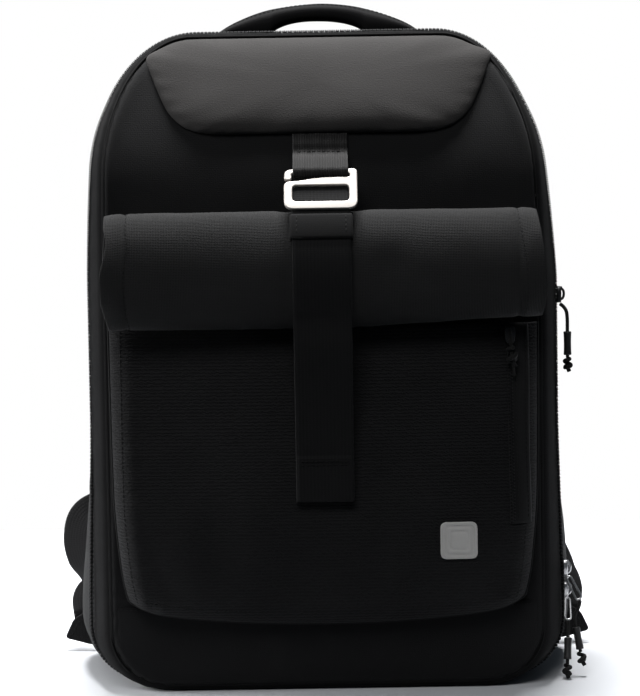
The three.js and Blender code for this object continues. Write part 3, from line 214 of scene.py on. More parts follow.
def grid_mesh(name, grid, uv, wrap=False, cap=False):
    """A mesh over a grid of points. uv is a grid of places on the cloth, in millimetres."""
    rows, cols = grid.shape[:2]
    points = grid.reshape(-1, 3)
    faces = grid_faces(rows, cols, wrap)
    uvs = []
    flat_uv = uv.reshape(-1, 2)
    for f in faces:
        corner = [flat_uv[i] for i in f]
        if wrap and f[1] % cols == 0:
            width = flat_uv[f[0]] - flat_uv[f[0] - 1]
            corner[1], corner[2] = corner[0] + width, corner[3] + width
        uvs.extend(corner)
    if cap:
        points = np.vstack([points, grid[0].mean(0), grid[-1].mean(0)])
        for row, tip, turn in ((0, rows * cols, True), (rows - 1, rows * cols + 1, False)):
            for c in range(cols):
                a, b = row * cols + c, row * cols + (c + 1) % cols
                faces.append((b, a, tip) if turn else (a, b, tip))
                uvs.extend([flat_uv[a], flat_uv[a], flat_uv[a]])
    return make_mesh(name, points, faces, uvs)


def face_out(obj):
    """Turns a mesh's faces outwards."""
    import bmesh
    bm = bmesh.new()
    bm.from_mesh(obj.data)
    bmesh.ops.recalc_face_normals(bm, faces=bm.faces)
    bm.to_mesh(obj.data)
    bm.free()
    return obj


def flip(obj):
    obj.data.flip_normals()
    return obj


def thicken(obj, thickness, offset=-1.0):
    m = obj.modifiers.new("cloth", "SOLIDIFY")
    m.thickness = thickness * MM
    m.offset = offset
    m.use_rim = True
    return obj


def flat_section(width, thick, across=8):
    """A flat band's outline with rounded edges, as places across and through it."""
    half, t = width / 2, thick / 2
    top = [(x, t) for x in np.linspace(half - t, t - half, across)]
    left = [(t - half + t * math.cos(a), t * math.sin(a)) for a in np.radians([135, 180, 225])]
    low = [(x, -t) for x in np.linspace(t - half, half - t, across)]
    right = [(half - t + t * math.cos(a), t * math.sin(a)) for a in np.radians([315, 360, 405])]
    return np.array(top + left + low + right)


def sweep(name, centres, across, section, widths=None, thicks=None, lift=None):
    """A closed solid swept along centres. section holds places across and through it."""
    centres = np.asarray(centres, float)
    count = len(centres)
    along = unit(np.gradient(centres, axis=0))
    across = np.broadcast_to(np.asarray(across, float), (count, 3))
    through = unit(np.cross(along, across))
    wide = unit(np.cross(through, along))
    w = np.ones(count) if widths is None else np.asarray(widths, float)
    t = np.ones(count) if thicks is None else np.asarray(thicks, float)
    grid = (centres[:, None] + wide[:, None] * (section[None, :, :1] * w[:, None, None])
            + through[:, None] * (section[None, :, 1:] * t[:, None, None]))
    if lift is not None:
        grid = grid + lift(grid, wide, through)
    s = along_path(centres)
    uv = np.zeros(grid.shape[:2] + (2,))
    uv[..., 0] = section[None, :, 0] * w[:, None]
    uv[..., 1] = s[:, None]
    obj = grid_mesh(name, grid, uv, wrap=True, cap=True)
    face_out(obj)
    return obj


def tube(name, path, radius, sides=12, closed=False, radii=None):
    """A round tube along a path."""
    path = np.asarray(path, float)
    if closed:
        along = unit(np.roll(path, -1, axis=0) - np.roll(path, 1, axis=0))
    else:
        along = unit(np.gradient(path, axis=0))
    side = unit(np.cross(along[0], (0.31, 0.17, 0.93) if abs(along[0][2]) < 0.8 else (1, 0.2, 0)))
    rings = []
    scale = np.ones(len(path)) if radii is None else np.asarray(radii, float)
    angles = np.linspace(0, 2 * math.pi, sides, endpoint=False)
    for i, p in enumerate(path):
        side = unit(side - along[i] * np.dot(side, along[i]))
        other = np.cross(along[i], side)
        rings.append(p + radius * scale[i] * (np.cos(angles)[:, None] * side
                                              + np.sin(angles)[:, None] * other))
    grid = np.array(rings)
    s = along_path(path)
    uv = np.zeros(grid.shape[:2] + (2,))
    uv[..., 0] = (angles * radius)[None]
    uv[..., 1] = s[:, None]
    if not closed:
        return face_out(grid_mesh(name, grid, uv, wrap=True, cap=True))
    grid = np.vstack([grid, grid[:1]])
    uv = np.vstack([uv, uv[-1:] + (0, s[1])])
    obj = grid_mesh(name, grid, uv, wrap=True)
    weld(obj)
    return face_out(obj)


def weld(obj, distance=0.02):
    import bmesh
    bm = bmesh.new()
    bm.from_mesh(obj.data)
    bmesh.ops.remove_doubles(bm, verts=bm.verts, dist=distance * MM)
    bm.to_mesh(obj.data)
    bm.free()
    return obj


def join(name, objs):
    """One mesh from several, keeping their UVs."""
    data = [o.data for o in objs]
    points, faces, uvs, start = [], [], [], 0
    for mesh in data:
        points.extend([tuple(v.co) for v in mesh.vertices])
        layer = mesh.uv_layers.active
        for p in mesh.polygons:
            faces.append(tuple(start + v for v in p.vertices))
            for li in p.loop_indices:
                uvs.append(tuple(layer.data[li].uv) if layer else (0, 0))
        start += len(mesh.vertices)
    for o in objs:
        bpy.data.objects.remove(o)
    return make_mesh(name, np.array(points) / MM, faces, np.array(uvs) / MM)


def plate(name, loops, thick, bevel, place, steps=2):
    """A flat plate with bevelled edges from closed outlines; place turns its own x, y, z."""
    curve = bpy.data.curves.new(name, "CURVE")
    curve.dimensions = "2D"
    curve.fill_mode = "BOTH"
    curve.extrude = (thick / 2 - bevel) * MM
    curve.bevel_depth = bevel * MM
    curve.bevel_resolution = steps
    for loop in loops:
        line = curve.splines.new("POLY")
        line.points.add(len(loop) - 1)
        for point, (x, y) in zip(line.points, loop):
            point.co = (x * MM, y * MM, 0, 1)
        line.use_cyclic_u = True
    temp = bpy.data.objects.new(name, curve)
    bpy.context.scene.collection.objects.link(temp)
    bpy.context.view_layer.update()
    mesh = bpy.data.meshes.new_from_object(temp.evaluated_get(bpy.context.evaluated_depsgraph_get()))
    bpy.data.objects.remove(temp)
    mesh.transform(place)
    mesh.name = name
    obj = bpy.data.objects.new(name, mesh)
    bpy.context.scene.collection.objects.link(obj)
    layer = mesh.uv_layers.new(name="UVMap") if not mesh.uv_layers else mesh.uv_layers[0]
    inverse = place.inverted()
    for loop in mesh.loops:
        local = inverse @ mesh.vertices[loop.vertex_index].co
        layer.data[loop.index].uv = (local.x, local.y)
    weld(obj, 0.01)
    face_out(obj)
    obj.data.polygons.foreach_set("use_smooth", [False] * len(obj.data.polygons))
    return obj


def inward(loop, distance):
    """A closed outline drawn in by a distance, since a curve's bevel grows it by as much."""
    p = np.asarray(loop, float)
    tangent = unit(np.roll(p, -1, axis=0) - np.roll(p, 1, axis=0))
    area = np.sum(p[:, 0] * np.roll(p[:, 1], -1) - np.roll(p[:, 0], -1) * p[:, 1])
    side = np.stack([-tangent[:, 1], tangent[:, 0]], axis=1) * (1 if area > 0 else -1)
    return p + side * distance


def rounded(corners, radius, steps=6):
    """A polygon with rounded corners, as a list of points."""
    corners = [np.asarray(c, float) for c in corners]
    radii = radius if hasattr(radius, "__len__") else [radius] * len(corners)
    out = []
    for i, corner in enumerate(corners):
        before, after = corners[i - 1], corners[(i + 1) % len(corners)]
        a, b = before - corner, after - corner
        reach = min(radii[i], np.linalg.norm(a) / 2, np.linalg.norm(b) / 2)
        start, end = corner + unit(a) * reach, corner + unit(b) * reach
        for t in np.linspace(0, 1, steps):
            out.append((1 - t)**2 * start + 2 * t * (1 - t) * corner + t**2 * end)
    kept = [p for i, p in enumerate(out) if np.linalg.norm(p - out[i - 1]) > 0.08]
    return kept


def box2(width, height, x=0.0, y=0.0):
    w, h = width / 2, height / 2
    return [(x - w, y - h), (x + w, y - h), (x + w, y + h), (x - w, y + h)]


def turned_to(origin, out, up=(0, 0, 1)):
    """A placing matrix whose z points out and whose y is as near to up as it can be."""
    z = Vector(out).normalized()
    x = Vector(up).cross(z).normalized()
    y = z.cross(x)
    m = Matrix((x, y, z)).transposed().to_4x4()
    m.translation = Vector(origin) * MM
    return m


# Materials

def new_material(name, color, roughness, metallic=0.0, specular=0.5, sheen=0.0, sheen_rough=0.5,
                 coat=0.0):
    mat = bpy.data.materials.new(name)
    mat.use_nodes = True
    shader = mat.node_tree.nodes["Principled BSDF"]
    shader.inputs["Base Color"].default_value = (*color, 1)
    shader.inputs["Roughness"].default_value = roughness
    shader.inputs["Metallic"].default_value = metallic
    shader.inputs["Specular IOR Level"].default_value = specular
    shader.inputs["Sheen Weight"].default_value = sheen
    shader.inputs["Sheen Roughness"].default_value = sheen_rough
    shader.inputs["Coat Weight"].default_value = coat
    return mat, mat.node_tree, shader


def node(tree, kind, **values):
    made = tree.nodes.new(kind)
    for key, value in values.items():
        if key in made.inputs:
            made.inputs[key].default_value = value
        else:
            setattr(made, key, value)
    return made


def wave(tree, coords, direction, pitch, distortion=0.6, detail_scale=2.0):
    w = node(tree, "ShaderNodeTexWave", bands_direction=direction, wave_profile="SIN")
    w.inputs["Scale"].default_value = 0.31416 / (pitch * MM)
    w.inputs["Distortion"].default_value = distortion
    w.inputs["Detail"].default_value = 1.0
    w.inputs["Detail Scale"].default_value = detail_scale
    tree.links.new(coords, w.inputs["Vector"])
    return w.outputs["Fac"]


def maths(tree, operation, a, b):
    m = node(tree, "ShaderNodeMath", operation=operation)
    for socket, value in zip(m.inputs, (a, b)):
        if isinstance(value, (int, float)):
            socket.default_value = value
        else:
            tree.links.new(value, socket)
    return m.outputs[0]


def tint(tree, shader, fac, low, high):
    ramp = node(tree, "ShaderNodeValToRGB")
    ramp.color_ramp.elements[0].position, ramp.color_ramp.elements[1].position = 0.0, 1.0
    ramp.color_ramp.elements[0].color = (*low, 1)
    ramp.color_ramp.elements[1].color = (*high, 1)
    tree.links.new(fac, ramp.inputs["Fac"])
    tree.links.new(ramp.outputs["Color"], shader.inputs["Base Color"])


def bump(tree, shader, height, distance, strength=1.0, under=None):
    b = node(tree, "ShaderNodeBump")
    b.inputs["Strength"].default_value = strength
    b.inputs["Distance"].default_value = distance * MM
    tree.links.new(height, b.inputs["Height"])
    if under is not None:
        tree.links.new(under, b.inputs["Normal"])
    tree.links.new(b.outputs["Normal"], shader.inputs["Normal"])
    return b.outputs["Normal"]


def cloth(name, color, rib=1.7, warp=1.2, depth=0.35, spread=0.3, sheen=0.02, roughness=0.85,
          specular=0.08, grain=0.5, lines=1.0, cross=0.3, uneven=1.6):
    """Woven cloth: ribs across, threads along, uneven threads and a faint worn patchiness."""
    mat, tree, shader = new_material(name, color, roughness, specular=specular, sheen=sheen)
    place = node(tree, "ShaderNodeTexCoord").outputs["UV"]
    ribs = wave(tree, place, "Y", rib, uneven, 3.0)
    threads = wave(tree, place, "X", warp, 0.8, 3.0)
    fine = node(tree, "ShaderNodeTexNoise", Scale=1 / (grain * MM), Detail=2.0)
    tree.links.new(place, fine.inputs["Vector"])
    patches = node(tree, "ShaderNodeTexNoise", Scale=22.0, Detail=4.0)
    tree.links.new(place, patches.inputs["Vector"])
    weave = maths(tree, "ADD", maths(tree, "MULTIPLY", ribs, 0.55 * lines),
                  maths(tree, "MULTIPLY", threads, cross * lines))
    weave = maths(tree, "ADD", weave, maths(tree, "MULTIPLY", fine.outputs["Fac"], 1.3 - 0.85 * lines))
    shade = maths(tree, "ADD", maths(tree, "MULTIPLY", weave, 0.6),
                  maths(tree, "MULTIPLY", patches.outputs["Fac"], 0.45))
    low = [c * (1 - spread) for c in color]
    high = [c * (1 + spread) for c in color]
    tint(tree, shader, shade, low, high)
    bump(tree, shader, weave, depth)
    return mat


def knit(name, color, pitch=2.6, depth=0.5, sheen=0.05):
    """Spacer mesh: rows of small open cells."""
    mat, tree, shader = new_material(name, color, 0.9, specular=0.1, sheen=sheen)
    place = node(tree, "ShaderNodeTexCoord").outputs["UV"]
    cells = node(tree, "ShaderNodeTexVoronoi", feature="DISTANCE_TO_EDGE", Scale=1 / (pitch * MM),
                 Randomness=0.35)
    tree.links.new(place, cells.inputs["Vector"])
    edge = maths(tree, "MINIMUM", maths(tree, "MULTIPLY", cells.outputs["Distance"], 3.0), 1.0)
    wall = maths(tree, "SUBTRACT", 1.0, edge)
    tint(tree, shader, wall, [c * 0.45 for c in color], [c * 1.25 for c in color])
    bump(tree, shader, wall, depth)
    return mat


def webbing_cloth(name, color, sheen=0.02, depth=0.3, rib=1.5, specular=0.1, line=2.4, raised=0.45):
    """Woven webbing: fine ribs across it and raised lines along it."""
    mat, tree, shader = new_material(name, color, 0.75, specular=specular, sheen=sheen)
    place = node(tree, "ShaderNodeTexCoord").outputs["UV"]
    ribs = wave(tree, place, "Y", rib, 0.5, 2.0)
    lines = wave(tree, place, "X", line, 0.3, 1.0)
    fuzz = node(tree, "ShaderNodeTexNoise", Scale=2600.0, Detail=2.0)
    tree.links.new(place, fuzz.inputs["Vector"])
    height = maths(tree, "ADD", maths(tree, "MULTIPLY", ribs, 0.95 - raised), maths(tree, "MULTIPLY", lines, raised))
    height = maths(tree, "ADD", height, maths(tree, "MULTIPLY", fuzz.outputs["Fac"], 0.25))
    tint(tree, shader, height, [c * 0.6 for c in color], [c * 1.25 for c in color])
    bump(tree, shader, height, depth)
    return mat


def grained(name, color, roughness, scale, depth, spread=0.15, metallic=0.0, specular=0.5,
            coords="Object", coat=0.0):
    """Moulded rubber, plastic or metal with a fine grain and an uneven gloss."""
    mat, tree, shader = new_material(name, color, roughness, metallic, specular, coat=coat)
    place = node(tree, "ShaderNodeTexCoord").outputs[coords]
    grain = node(tree, "ShaderNodeTexNoise", Scale=scale, Detail=4.0)
    tree.links.new(place, grain.inputs["Vector"])
    tint(tree, shader, grain.outputs["Fac"], [c * (1 - spread) for c in color],
         [min(1.0, c * (1 + spread)) for c in color])
    span = node(tree, "ShaderNodeMapRange")
    span.inputs["To Min"].default_value = roughness * 0.8
    span.inputs["To Max"].default_value = min(1.0, roughness * 1.25)
    tree.links.new(grain.outputs["Fac"], span.inputs["Value"])
    tree.links.new(span.outputs["Result"], shader.inputs["Roughness"])
    bump(tree, shader, grain.outputs["Fac"], depth)
    return mat


BODY = cloth("body_weave", (0.0063, 0.0063, 0.0066), rib=1.3, warp=1.3, depth=0.25, spread=0.5, sheen=0.04,
             lines=0.25, grain=0.9)
# The panel cloth is about four times lighter than the body cloth: partly a lighter cloth, partly painted light
# standing in for the overhead light on the top panel.
PANEL = cloth("panel_weave", (0.0258, 0.0246, 0.0242), rib=1.2, warp=1.2, depth=0.2, sheen=0.03, spread=0.4,
              lines=0.12, grain=1.0)
# The sides use a copy of the body cloth with its colour raised a little: painted light standing in for the light from
# the left on the sides.
GUSSET_PAINTED_LIGHT = cloth("gusset_cloth_painted_light", (0.0068, 0.0068, 0.007), rib=1.3, warp=1.3, depth=0.25, spread=0.5, sheen=0.012,
               roughness=0.9, specular=0.02, lines=0.25, grain=0.9)
POUCH = cloth("pouch_rib", (0.0092, 0.0092, 0.0096), rib=2.3, warp=1.5, depth=0.75, spread=0.75, cross=0.03,
              uneven=4.0, grain=0.8)
SEAM = cloth("seam_tape", (0.0025, 0.0025, 0.0026), rib=1.1, warp=2.0, depth=0.1)
GRIP = cloth("grip_cloth", (0.005, 0.005, 0.0052), rib=1.2, warp=1.2, depth=0.15, spread=0.4, lines=0.3)
ROLL = cloth("roll_twill", (0.0152, 0.0152, 0.0154), rib=1.1, warp=1.1, depth=0.38, spread=0.4, cross=0.5,
             uneven=3.0, lines=0.8)
WEB = webbing_cloth("webbing", (0.0067, 0.0067, 0.007), depth=0.15, raised=0.6)
LOOP = webbing_cloth("loop_webbing", (0.013, 0.0127, 0.0127), sheen=0.05, depth=0.45, line=1.75, raised=0.85)
TAPE = cloth("zip_tape_cloth", (0.0095, 0.0095, 0.0098), rib=0.9, warp=1.1, depth=0.15)
COIL = grained("zip_coil", (0.014, 0.014, 0.0145), 0.6, 900.0, 0.05, specular=0.12)
THREAD = grained("thread", (0.01, 0.01, 0.01), 0.8, 1500.0, 0.05, specular=0.1)
BINDING = cloth("binding_tape", (0.008, 0.008, 0.0083), rib=1.1, warp=2.0, depth=0.25)
MESH = knit("spacer_mesh_knit", (0.016, 0.016, 0.0165))
CORD = webbing_cloth("braided_cord", (0.009, 0.009, 0.009), rib=1.0, depth=0.35)
RUBBER = grained("patch_rubber_skin", (0.44, 0.43, 0.418), 0.6, 1400.0, 0.04, 0.06, specular=0.3)
ALLOY = grained("satin_alloy", (0.41, 0.385, 0.363), 0.42, 700.0, 0.02, 0.05, metallic=0.35)
STEEL = grained("slider_steel", (0.5, 0.5, 0.51), 0.28, 900.0, 0.03, 0.1, metallic=0.9)
KEEPER = cloth("keeper_cloth", (0.0042, 0.0042, 0.0044), rib=1.4, warp=1.4, depth=0.1, spread=0.3, lines=0.3)
DARK_STEEL = grained("dark_slider", (0.03, 0.03, 0.031), 0.35, 900.0, 0.03, 0.1, metallic=0.7)
PLASTIC = grained("moulded_plastic", (0.012, 0.012, 0.0123), 0.42, 1800.0, 0.04, 0.2, specular=0.35)


def dress(obj, material, slot_name, *nodes, fill=None):
    """Gives a piece its material, hangs it under the root and hides the CAD nodes that it stands for; slot_name is not
    used.
    """
    obj.data.materials.clear()
    obj.data.materials.append(material)
    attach(obj, "root")
    if nodes:
        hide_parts(*nodes)
    return obj


# Camera, at the photograph's viewing angle

CAMERA_PITCH = math.degrees(math.atan(0.0755))
CAMERA_ROLL = -0.92


def make_camera():
    data = bpy.data.cameras.new("camera")
    data.sensor_width = 36.0
    data.lens = 140.4
    data.clip_start, data.clip_end = 0.05, 50.0
    cam = bpy.data.objects.new("camera", data)
    bpy.context.scene.collection.objects.link(cam)
    turn = Matrix.Rotation(math.radians(90 - CAMERA_PITCH), 4, "X")
    turn = turn @ Matrix.Rotation(math.radians(CAMERA_ROLL), 4, "Z")
    cam.matrix_world = Matrix.Translation((-0.0022, -2.0, 0.39)) @ turn
    bpy.context.scene.camera = cam


make_camera()

# Cords, sleeves and knots

CORD_DIAMETER = 2.6
CORD_ROUTES = {
    "upper": [
        (172.2, -36.1, 271.1), (174.6, -37, 269), (176.6, -37.8, 265.6), (177.2, -38, 260),
        (177.2, -38, 254), (177.2, -38, 247), (177.2, -38, 240), (177.2, -38, 232),
    ],
    "lower_a": [
        (184.1, -44.1, 55.1), (183.2, -44.7, 51), (181.2, -45.2, 47), (180, -45.6, 43.5),
        (180, -46, 40), (181.2, -46.6, 33), (182.5, -47.3, 25.5), (183.8, -48, 18),
    ],
    "lower_b": [
        (174.95, -47.15, 40.6), (175, -48.2, 37.6), (174.8, -49.8, 34.2), (174.5, -51.4, 31),
        (174.2, -52.9, 26), (173.9, -54.4, 21), (173.6, -55.9, 16), (173.3, -57.4, 11),
    ],
}
SLEEVES = {
    "upper": ((177.2, -38, 251), (177.2, -38, 234)),
    "lower_a": ((180.7, -46.35, 36), (183.45, -47.8, 20)),
    "lower_b": ((174.4, -51.9, 29.3), (173.5, -56.4, 14.4)),
}


def knot_path(start, along, reach=2.0, length=7.5, turns=2.3, seed=0.0):
    """A cord wound round itself and drawn tight, ending in a short tail."""
    along = unit(along)
    side = unit(np.cross(along, (0, 1, 0.2)))
    other = np.cross(along, side)
    points = []
    for t in np.linspace(0, 1, 60):
        angle = 2 * math.pi * turns * t + seed
        swell = reach * math.sin(math.pi * min(1.0, 0.12 + t * 0.95)) ** 0.6
        down = length * (0.5 - 0.42 * math.cos(math.pi * t * 1.5)) if t < 0.66 else None
        if down is None:
            down = length * (0.92 - 0.3 * math.sin(math.pi * (t - 0.66) / 0.34))
        points.append(start + along * down + side * swell * math.cos(angle)
                      + other * swell * math.sin(angle))
    tail = points[-1]
    for t in np.linspace(0.1, 1, 8):
        points.append(tail + (along * 0.9 + side * 0.35) * t * (length * 0.45))
    return np.array(points)


def knot(name, start, along, replaced, radius=1.5, seed=0.0, length=7.4, reach=2.3):
    path = knot_path(np.asarray(start, float), np.asarray(along, float), reach=reach,
                     length=length, seed=seed)
    obj = tube(name, path, radius, sides=10)
    return dress(obj, CORD, "cord_cloth", *replaced)


def sleeve(name, start, end, node_name):
    """A short heat-shrunk sleeve with a soft waist and rolled lips."""
    profile = [(1.45, 0), (2.6, 0), (2.85, 0.03), (2.8, 0.08), (2.65, 0.3), (2.6, 0.5),
               (2.65, 0.75), (2.8, 0.93), (2.85, 0.97), (2.6, 1), (1.45, 1), (1.4, 0.5)]
    start, end = np.asarray(start, float), np.asarray(end, float)
    along = unit(end - start)
    side = unit(np.cross(along, (0, 1, 0)))
    other = np.cross(along, side)
    length = np.linalg.norm(end - start)
    angles = np.linspace(0, 2 * math.pi, 24, endpoint=False)
    rings = []
    for radius, share in profile + profile[:1]:
        rings.append(start + along * share * length + radius * (
            np.cos(angles)[:, None] * side + np.sin(angles)[:, None] * other))
    grid = np.array(rings)
    uv = np.zeros(grid.shape[:2] + (2,))
    uv[..., 0] = (angles * 2)[None]
    uv[..., 1] = np.arange(len(rings))[:, None]
    obj = face_out(weld(grid_mesh(name, grid, uv, wrap=True)))
    return dress(obj, PLASTIC, "black_plastic", node_name)


def pull_cord(name, points, seed):
    path = spline(points, 0.8)
    along = unit(path[-1] - path[-3])
    obj = dress(tube("cord_" + name, path, CORD_DIAMETER / 2), CORD, "cord_cloth",
                "pull_cord_" + name)
    on_it = [
        sleeve("sleeve_" + name, *SLEEVES[name], "cord_sleeve_" + name),
        knot("knot_" + name, path[-1] + along * GAP, along, ["cord_knot_" + name], seed=seed),
    ]


for seed, (cord_name, route) in enumerate(CORD_ROUTES.items()):
    pull_cord(cord_name, route, seed * 1.7)


# Body form

CORNER_STEPS, SIDE_STEPS, LEVEL_STEPS = 24, 64, 52


def flare_at(z):
    return BASE_FLARE * smooth(FLARE_RISE[:, 0], FLARE_RISE[:, 1], z / BAG_HEIGHT)


def setback_at(z):
    return TOP_SETBACK * np.maximum(0, (z / BAG_HEIGHT - 0.775) / 0.225) ** 1.5


def dome_at(x, z):
    across = np.maximum(0, 1 - (x / (BAG_WIDTH / 2)) ** 2)
    return FRONT_DOME * across * np.maximum(0, 1 - (2 * z / BAG_HEIGHT - 1) ** 4)


def front_face(x, z):
    return FRONT_Y + setback_at(z) - dome_at(x, z)


def outline(half, base, top, across, high, base_across, base_high):
    points = []

    def arc(x, z, rx, rz, start):
        for a in np.radians(start + 90 * np.linspace(0, 1, CORNER_STEPS + 1)):
            points.append((x + rx * math.cos(a), z + rz * math.sin(a)))

    def run(x0, z0, x1, z1, steps):
        for t in np.linspace(0, 1, steps + 1)[1:-1]:
            points.append((x0 + (x1 - x0) * t, z0 + (z1 - z0) * t))

    arc(half - base_across, base + base_high, base_across, base_high, -90)
    run(half, base + base_high, half, top - high, SIDE_STEPS)
    arc(half - across, top - high, across, high, 0)
    run(half - across, top, across - half, top, LEVEL_STEPS)
    arc(across - half, top - high, across, high, 90)
    run(-half, top - high, -half, base + base_high, SIDE_STEPS)
    arc(base_across - half, base + base_high, base_across, base_high, 180)
    run(base_across - half, base, half - base_across, base, LEVEL_STEPS)
    return np.array(points)


RING_COUNT = 4 * (CORNER_STEPS + 1) + 2 * (SIDE_STEPS - 1) + 2 * (LEVEL_STEPS - 1)


def body_ring(depth, inset=0.0, back=0.0):
    side_share, top_share, base_share, setback, dome, flare = [
        float(smooth(SECTIONS[:, 0], SECTIONS[:, k], depth)) for k in range(1, 7)]
    side = FRONT_EDGE_INSET * side_share + inset
    top = FRONT_TOP_INSET * top_share + inset
    base = FRONT_BASE_LIFT * base_share + inset
    half = BAG_WIDTH / 2 - side
    flat = outline(half, base, BAG_HEIGHT - top, TOP_CORNER_ACROSS - side, TOP_CORNER_HIGH - top,
                   BASE_CORNER_ACROSS - inset, BASE_CORNER_HIGH - inset)
    x, z = flat[:, 0], flat[:, 1]
    out = flare_at(z) * flare * x / half
    left, right = [smooth(SLUMP[:, 0], SLUMP[:, k], z / BAG_HEIGHT) for k in (1, 2)]
    out = out - np.where(x > 0, right, left) * x / half * (0.75 + 0.25 * step(depth, 0, 0.2))
    y = FRONT_Y + BAG_DEPTH * depth + back + setback * setback_at(z) - dome * dome_at(x, z)
    return np.stack([x + out, y, z], axis=1)


def face_ring(ring, share, face):
    x = ring[:, 0] * share
    z = BAG_HEIGHT / 2 + (ring[:, 2] - BAG_HEIGHT / 2) * share
    return np.stack([x, face(x, z), z], axis=1)


ZIP_FROM_FRONT, ZIP_TAPE, ZIP_CHAIN = 46.0, 12.0, 5.4
ZIP_FRONT = (ZIP_FROM_FRONT - ZIP_TAPE / 2) / BAG_DEPTH
ZIP_BACK = (ZIP_FROM_FRONT + ZIP_TAPE / 2) / BAG_DEPTH
FACE_SHARES = np.array([0.04, 0.15, 0.28, 0.4, 0.5, 0.58, 0.66, 0.73, 0.79, 0.84, 0.88, 0.91, 0.935,
                        0.955, 0.97, 0.98, 0.987, 0.992, 0.996, 1.0])


def seam(distance, groove=2.2, puff=1.2, width=1.3):
    """How far cloth stands out near a seam: a groove with a soft roll on each side."""
    return puff * np.exp(-(((np.abs(distance) - 4.5) / 3.2) ** 2)) - groove * bell(distance, 0, width)


def ring_arc(ring):
    closed = np.vstack([ring, ring[:1]])
    return along_path(closed)[:-1]


def pucker(arc, period, seed):
    """Small uneven gathers along a seam."""
    a = np.sin(2 * math.pi * arc / period + 2.0 * np.sin(arc / 41.0 + seed))
    return a * (0.6 + 0.4 * np.sin(arc / 67.0 + seed * 3))


def front_body():
    depths_mm = np.array([0, 0.5, 1.1, 2.0, 3.5, 5.5, 8, 11, 15, 20, 25, 30, 34, 36.5, 38, 39.2, 40.0])
    edge = body_ring(0.0)
    face = [face_ring(edge, s, front_face) for s in FACE_SHARES]
    sides = [body_ring(d / BAG_DEPTH) for d in depths_mm[1:]]
    grid = np.array(face + sides)
    n = outward(grid, True, (0, 20, 235))
    arc = ring_arc(edge)
    rows = len(face)
    away = np.concatenate([(FACE_SHARES - 1) * 154, depths_mm[1:]])[:, None]
    lift = seam(away)
    lift = lift + 0.35 * pucker(arc, 13.0, 1.0)[None] * np.exp(-np.abs(away) / 9.0)
    lift = lift + 1.1 * noise3(grid, 75.0, 1) * step(np.abs(away), 3, 20)
    lift = lift + 0.4 * noise3(grid, 24.0, 2) * step(np.abs(away), 3, 12)
    hem = np.clip(away, 0, None)
    lift = lift + 0.9 * bell(hem, 37.4, 2.6) - 1.0 * step(hem, 38.6, 40.0)
    lift = lift + 0.5 * pucker(arc, 17.0, 2.0)[None] * bell(hem, 26, 9)
    grid = grid + n * lift[..., None]
    grid[..., 2] = np.maximum(grid[..., 2], 0.02)
    uv = np.zeros(grid.shape[:2] + (2,))
    uv[:rows, :, 0], uv[:rows, :, 1] = grid[:rows, :, 0], grid[:rows, :, 2]
    uv[rows:, :, 0], uv[rows:, :, 1] = arc[None], -depths_mm[1:, None]
    obj = grid_mesh("body_front", grid, uv, wrap=True)
    close_pole(obj, RING_COUNT)
    face_out(obj)
    thicken(obj, SHELL_WALL)
    dress(obj, BODY, "body_cloth", "front_shell")
    # The side rows take the lighter copy of the body cloth, as painted light on the sides.
    obj.data.materials.append(GUSSET_PAINTED_LIGHT)
    for polygon in obj.data.polygons[(rows - 1) * RING_COUNT:-1]:
        polygon.material_index = 1
    return obj


def close_pole(obj, count):
    """Fills the small hole at the middle of a face's rings."""
    import bmesh
    bm = bmesh.new()
    bm.from_mesh(obj.data)
    bm.verts.ensure_lookup_table()
    bm.faces.new([bm.verts[i] for i in range(count)])
    bm.to_mesh(obj.data)
    bm.free()


def rear_body():
    depths_mm = np.array([52, 52.8, 54, 55.5, 58, 62, 68, 76, 86, 98, 110, 122, 134, 144, 149.2, 153,
                          156, 158.5, 160.5, 162, 163.2, 164.0])
    sides = [body_ring(d / BAG_DEPTH) for d in depths_mm]
    edge = sides[-1]
    shares = FACE_SHARES[::-1][1:]
    back = [face_ring(edge, s, lambda x, z: BACK_Y + 0 * x) for s in shares]
    grid = np.array(sides + back)
    n = outward(grid, True, (0, 20, 235))
    arc = ring_arc(sides[0])
    away = np.concatenate([depths_mm - 164, (1 - shares) * 154])[:, None]
    lift = 1.6 * noise3(grid, 90.0, 3) * step(np.abs(away), 3, 25)
    lift = lift + 0.5 * noise3(grid, 26.0, 4) * step(np.abs(away), 3, 12)
    hem = np.concatenate([depths_mm, np.full(len(back), 400.0)])[:, None]
    lift = lift * step(hem, 52, 60)
    lift = lift + 0.9 * bell(hem, 54.6, 2.6) - 1.0 * step(-hem, -53.4, -52.0)
    lift = lift + 0.6 * pucker(arc, 21.0, 5.0)[None] * bell(hem, 70, 12)
    back_seam = (depths_mm - 149.2)[:, None]
    lift[:len(sides)] = lift[:len(sides)] + seam(back_seam, 1.2, 0.7, 1.3)
    grid = grid + n * lift[..., None]
    grid[..., 1] = np.minimum(grid[..., 1], BACK_Y + 0.5)
    grid[..., 2] = np.maximum(grid[..., 2], 0.02)
    uv = np.zeros(grid.shape[:2] + (2,))
    rows = len(sides)
    uv[:rows, :, 0], uv[:rows, :, 1] = arc[None], -depths_mm[:, None]
    uv[rows:, :, 0], uv[rows:, :, 1] = grid[rows:, :, 0], grid[rows:, :, 2]
    obj = grid_mesh("body_rear", grid, uv, wrap=True)
    last = grid.shape[0] * RING_COUNT
    import bmesh
    bm = bmesh.new()
    bm.from_mesh(obj.data)
    bm.verts.ensure_lookup_table()
    bm.faces.new([bm.verts[i] for i in range(last - RING_COUNT, last)])
    bm.to_mesh(obj.data)
    bm.free()
    face_out(obj)
    thicken(obj, SHELL_WALL)
    return dress(obj, BODY, "body_cloth", "rear_shell")


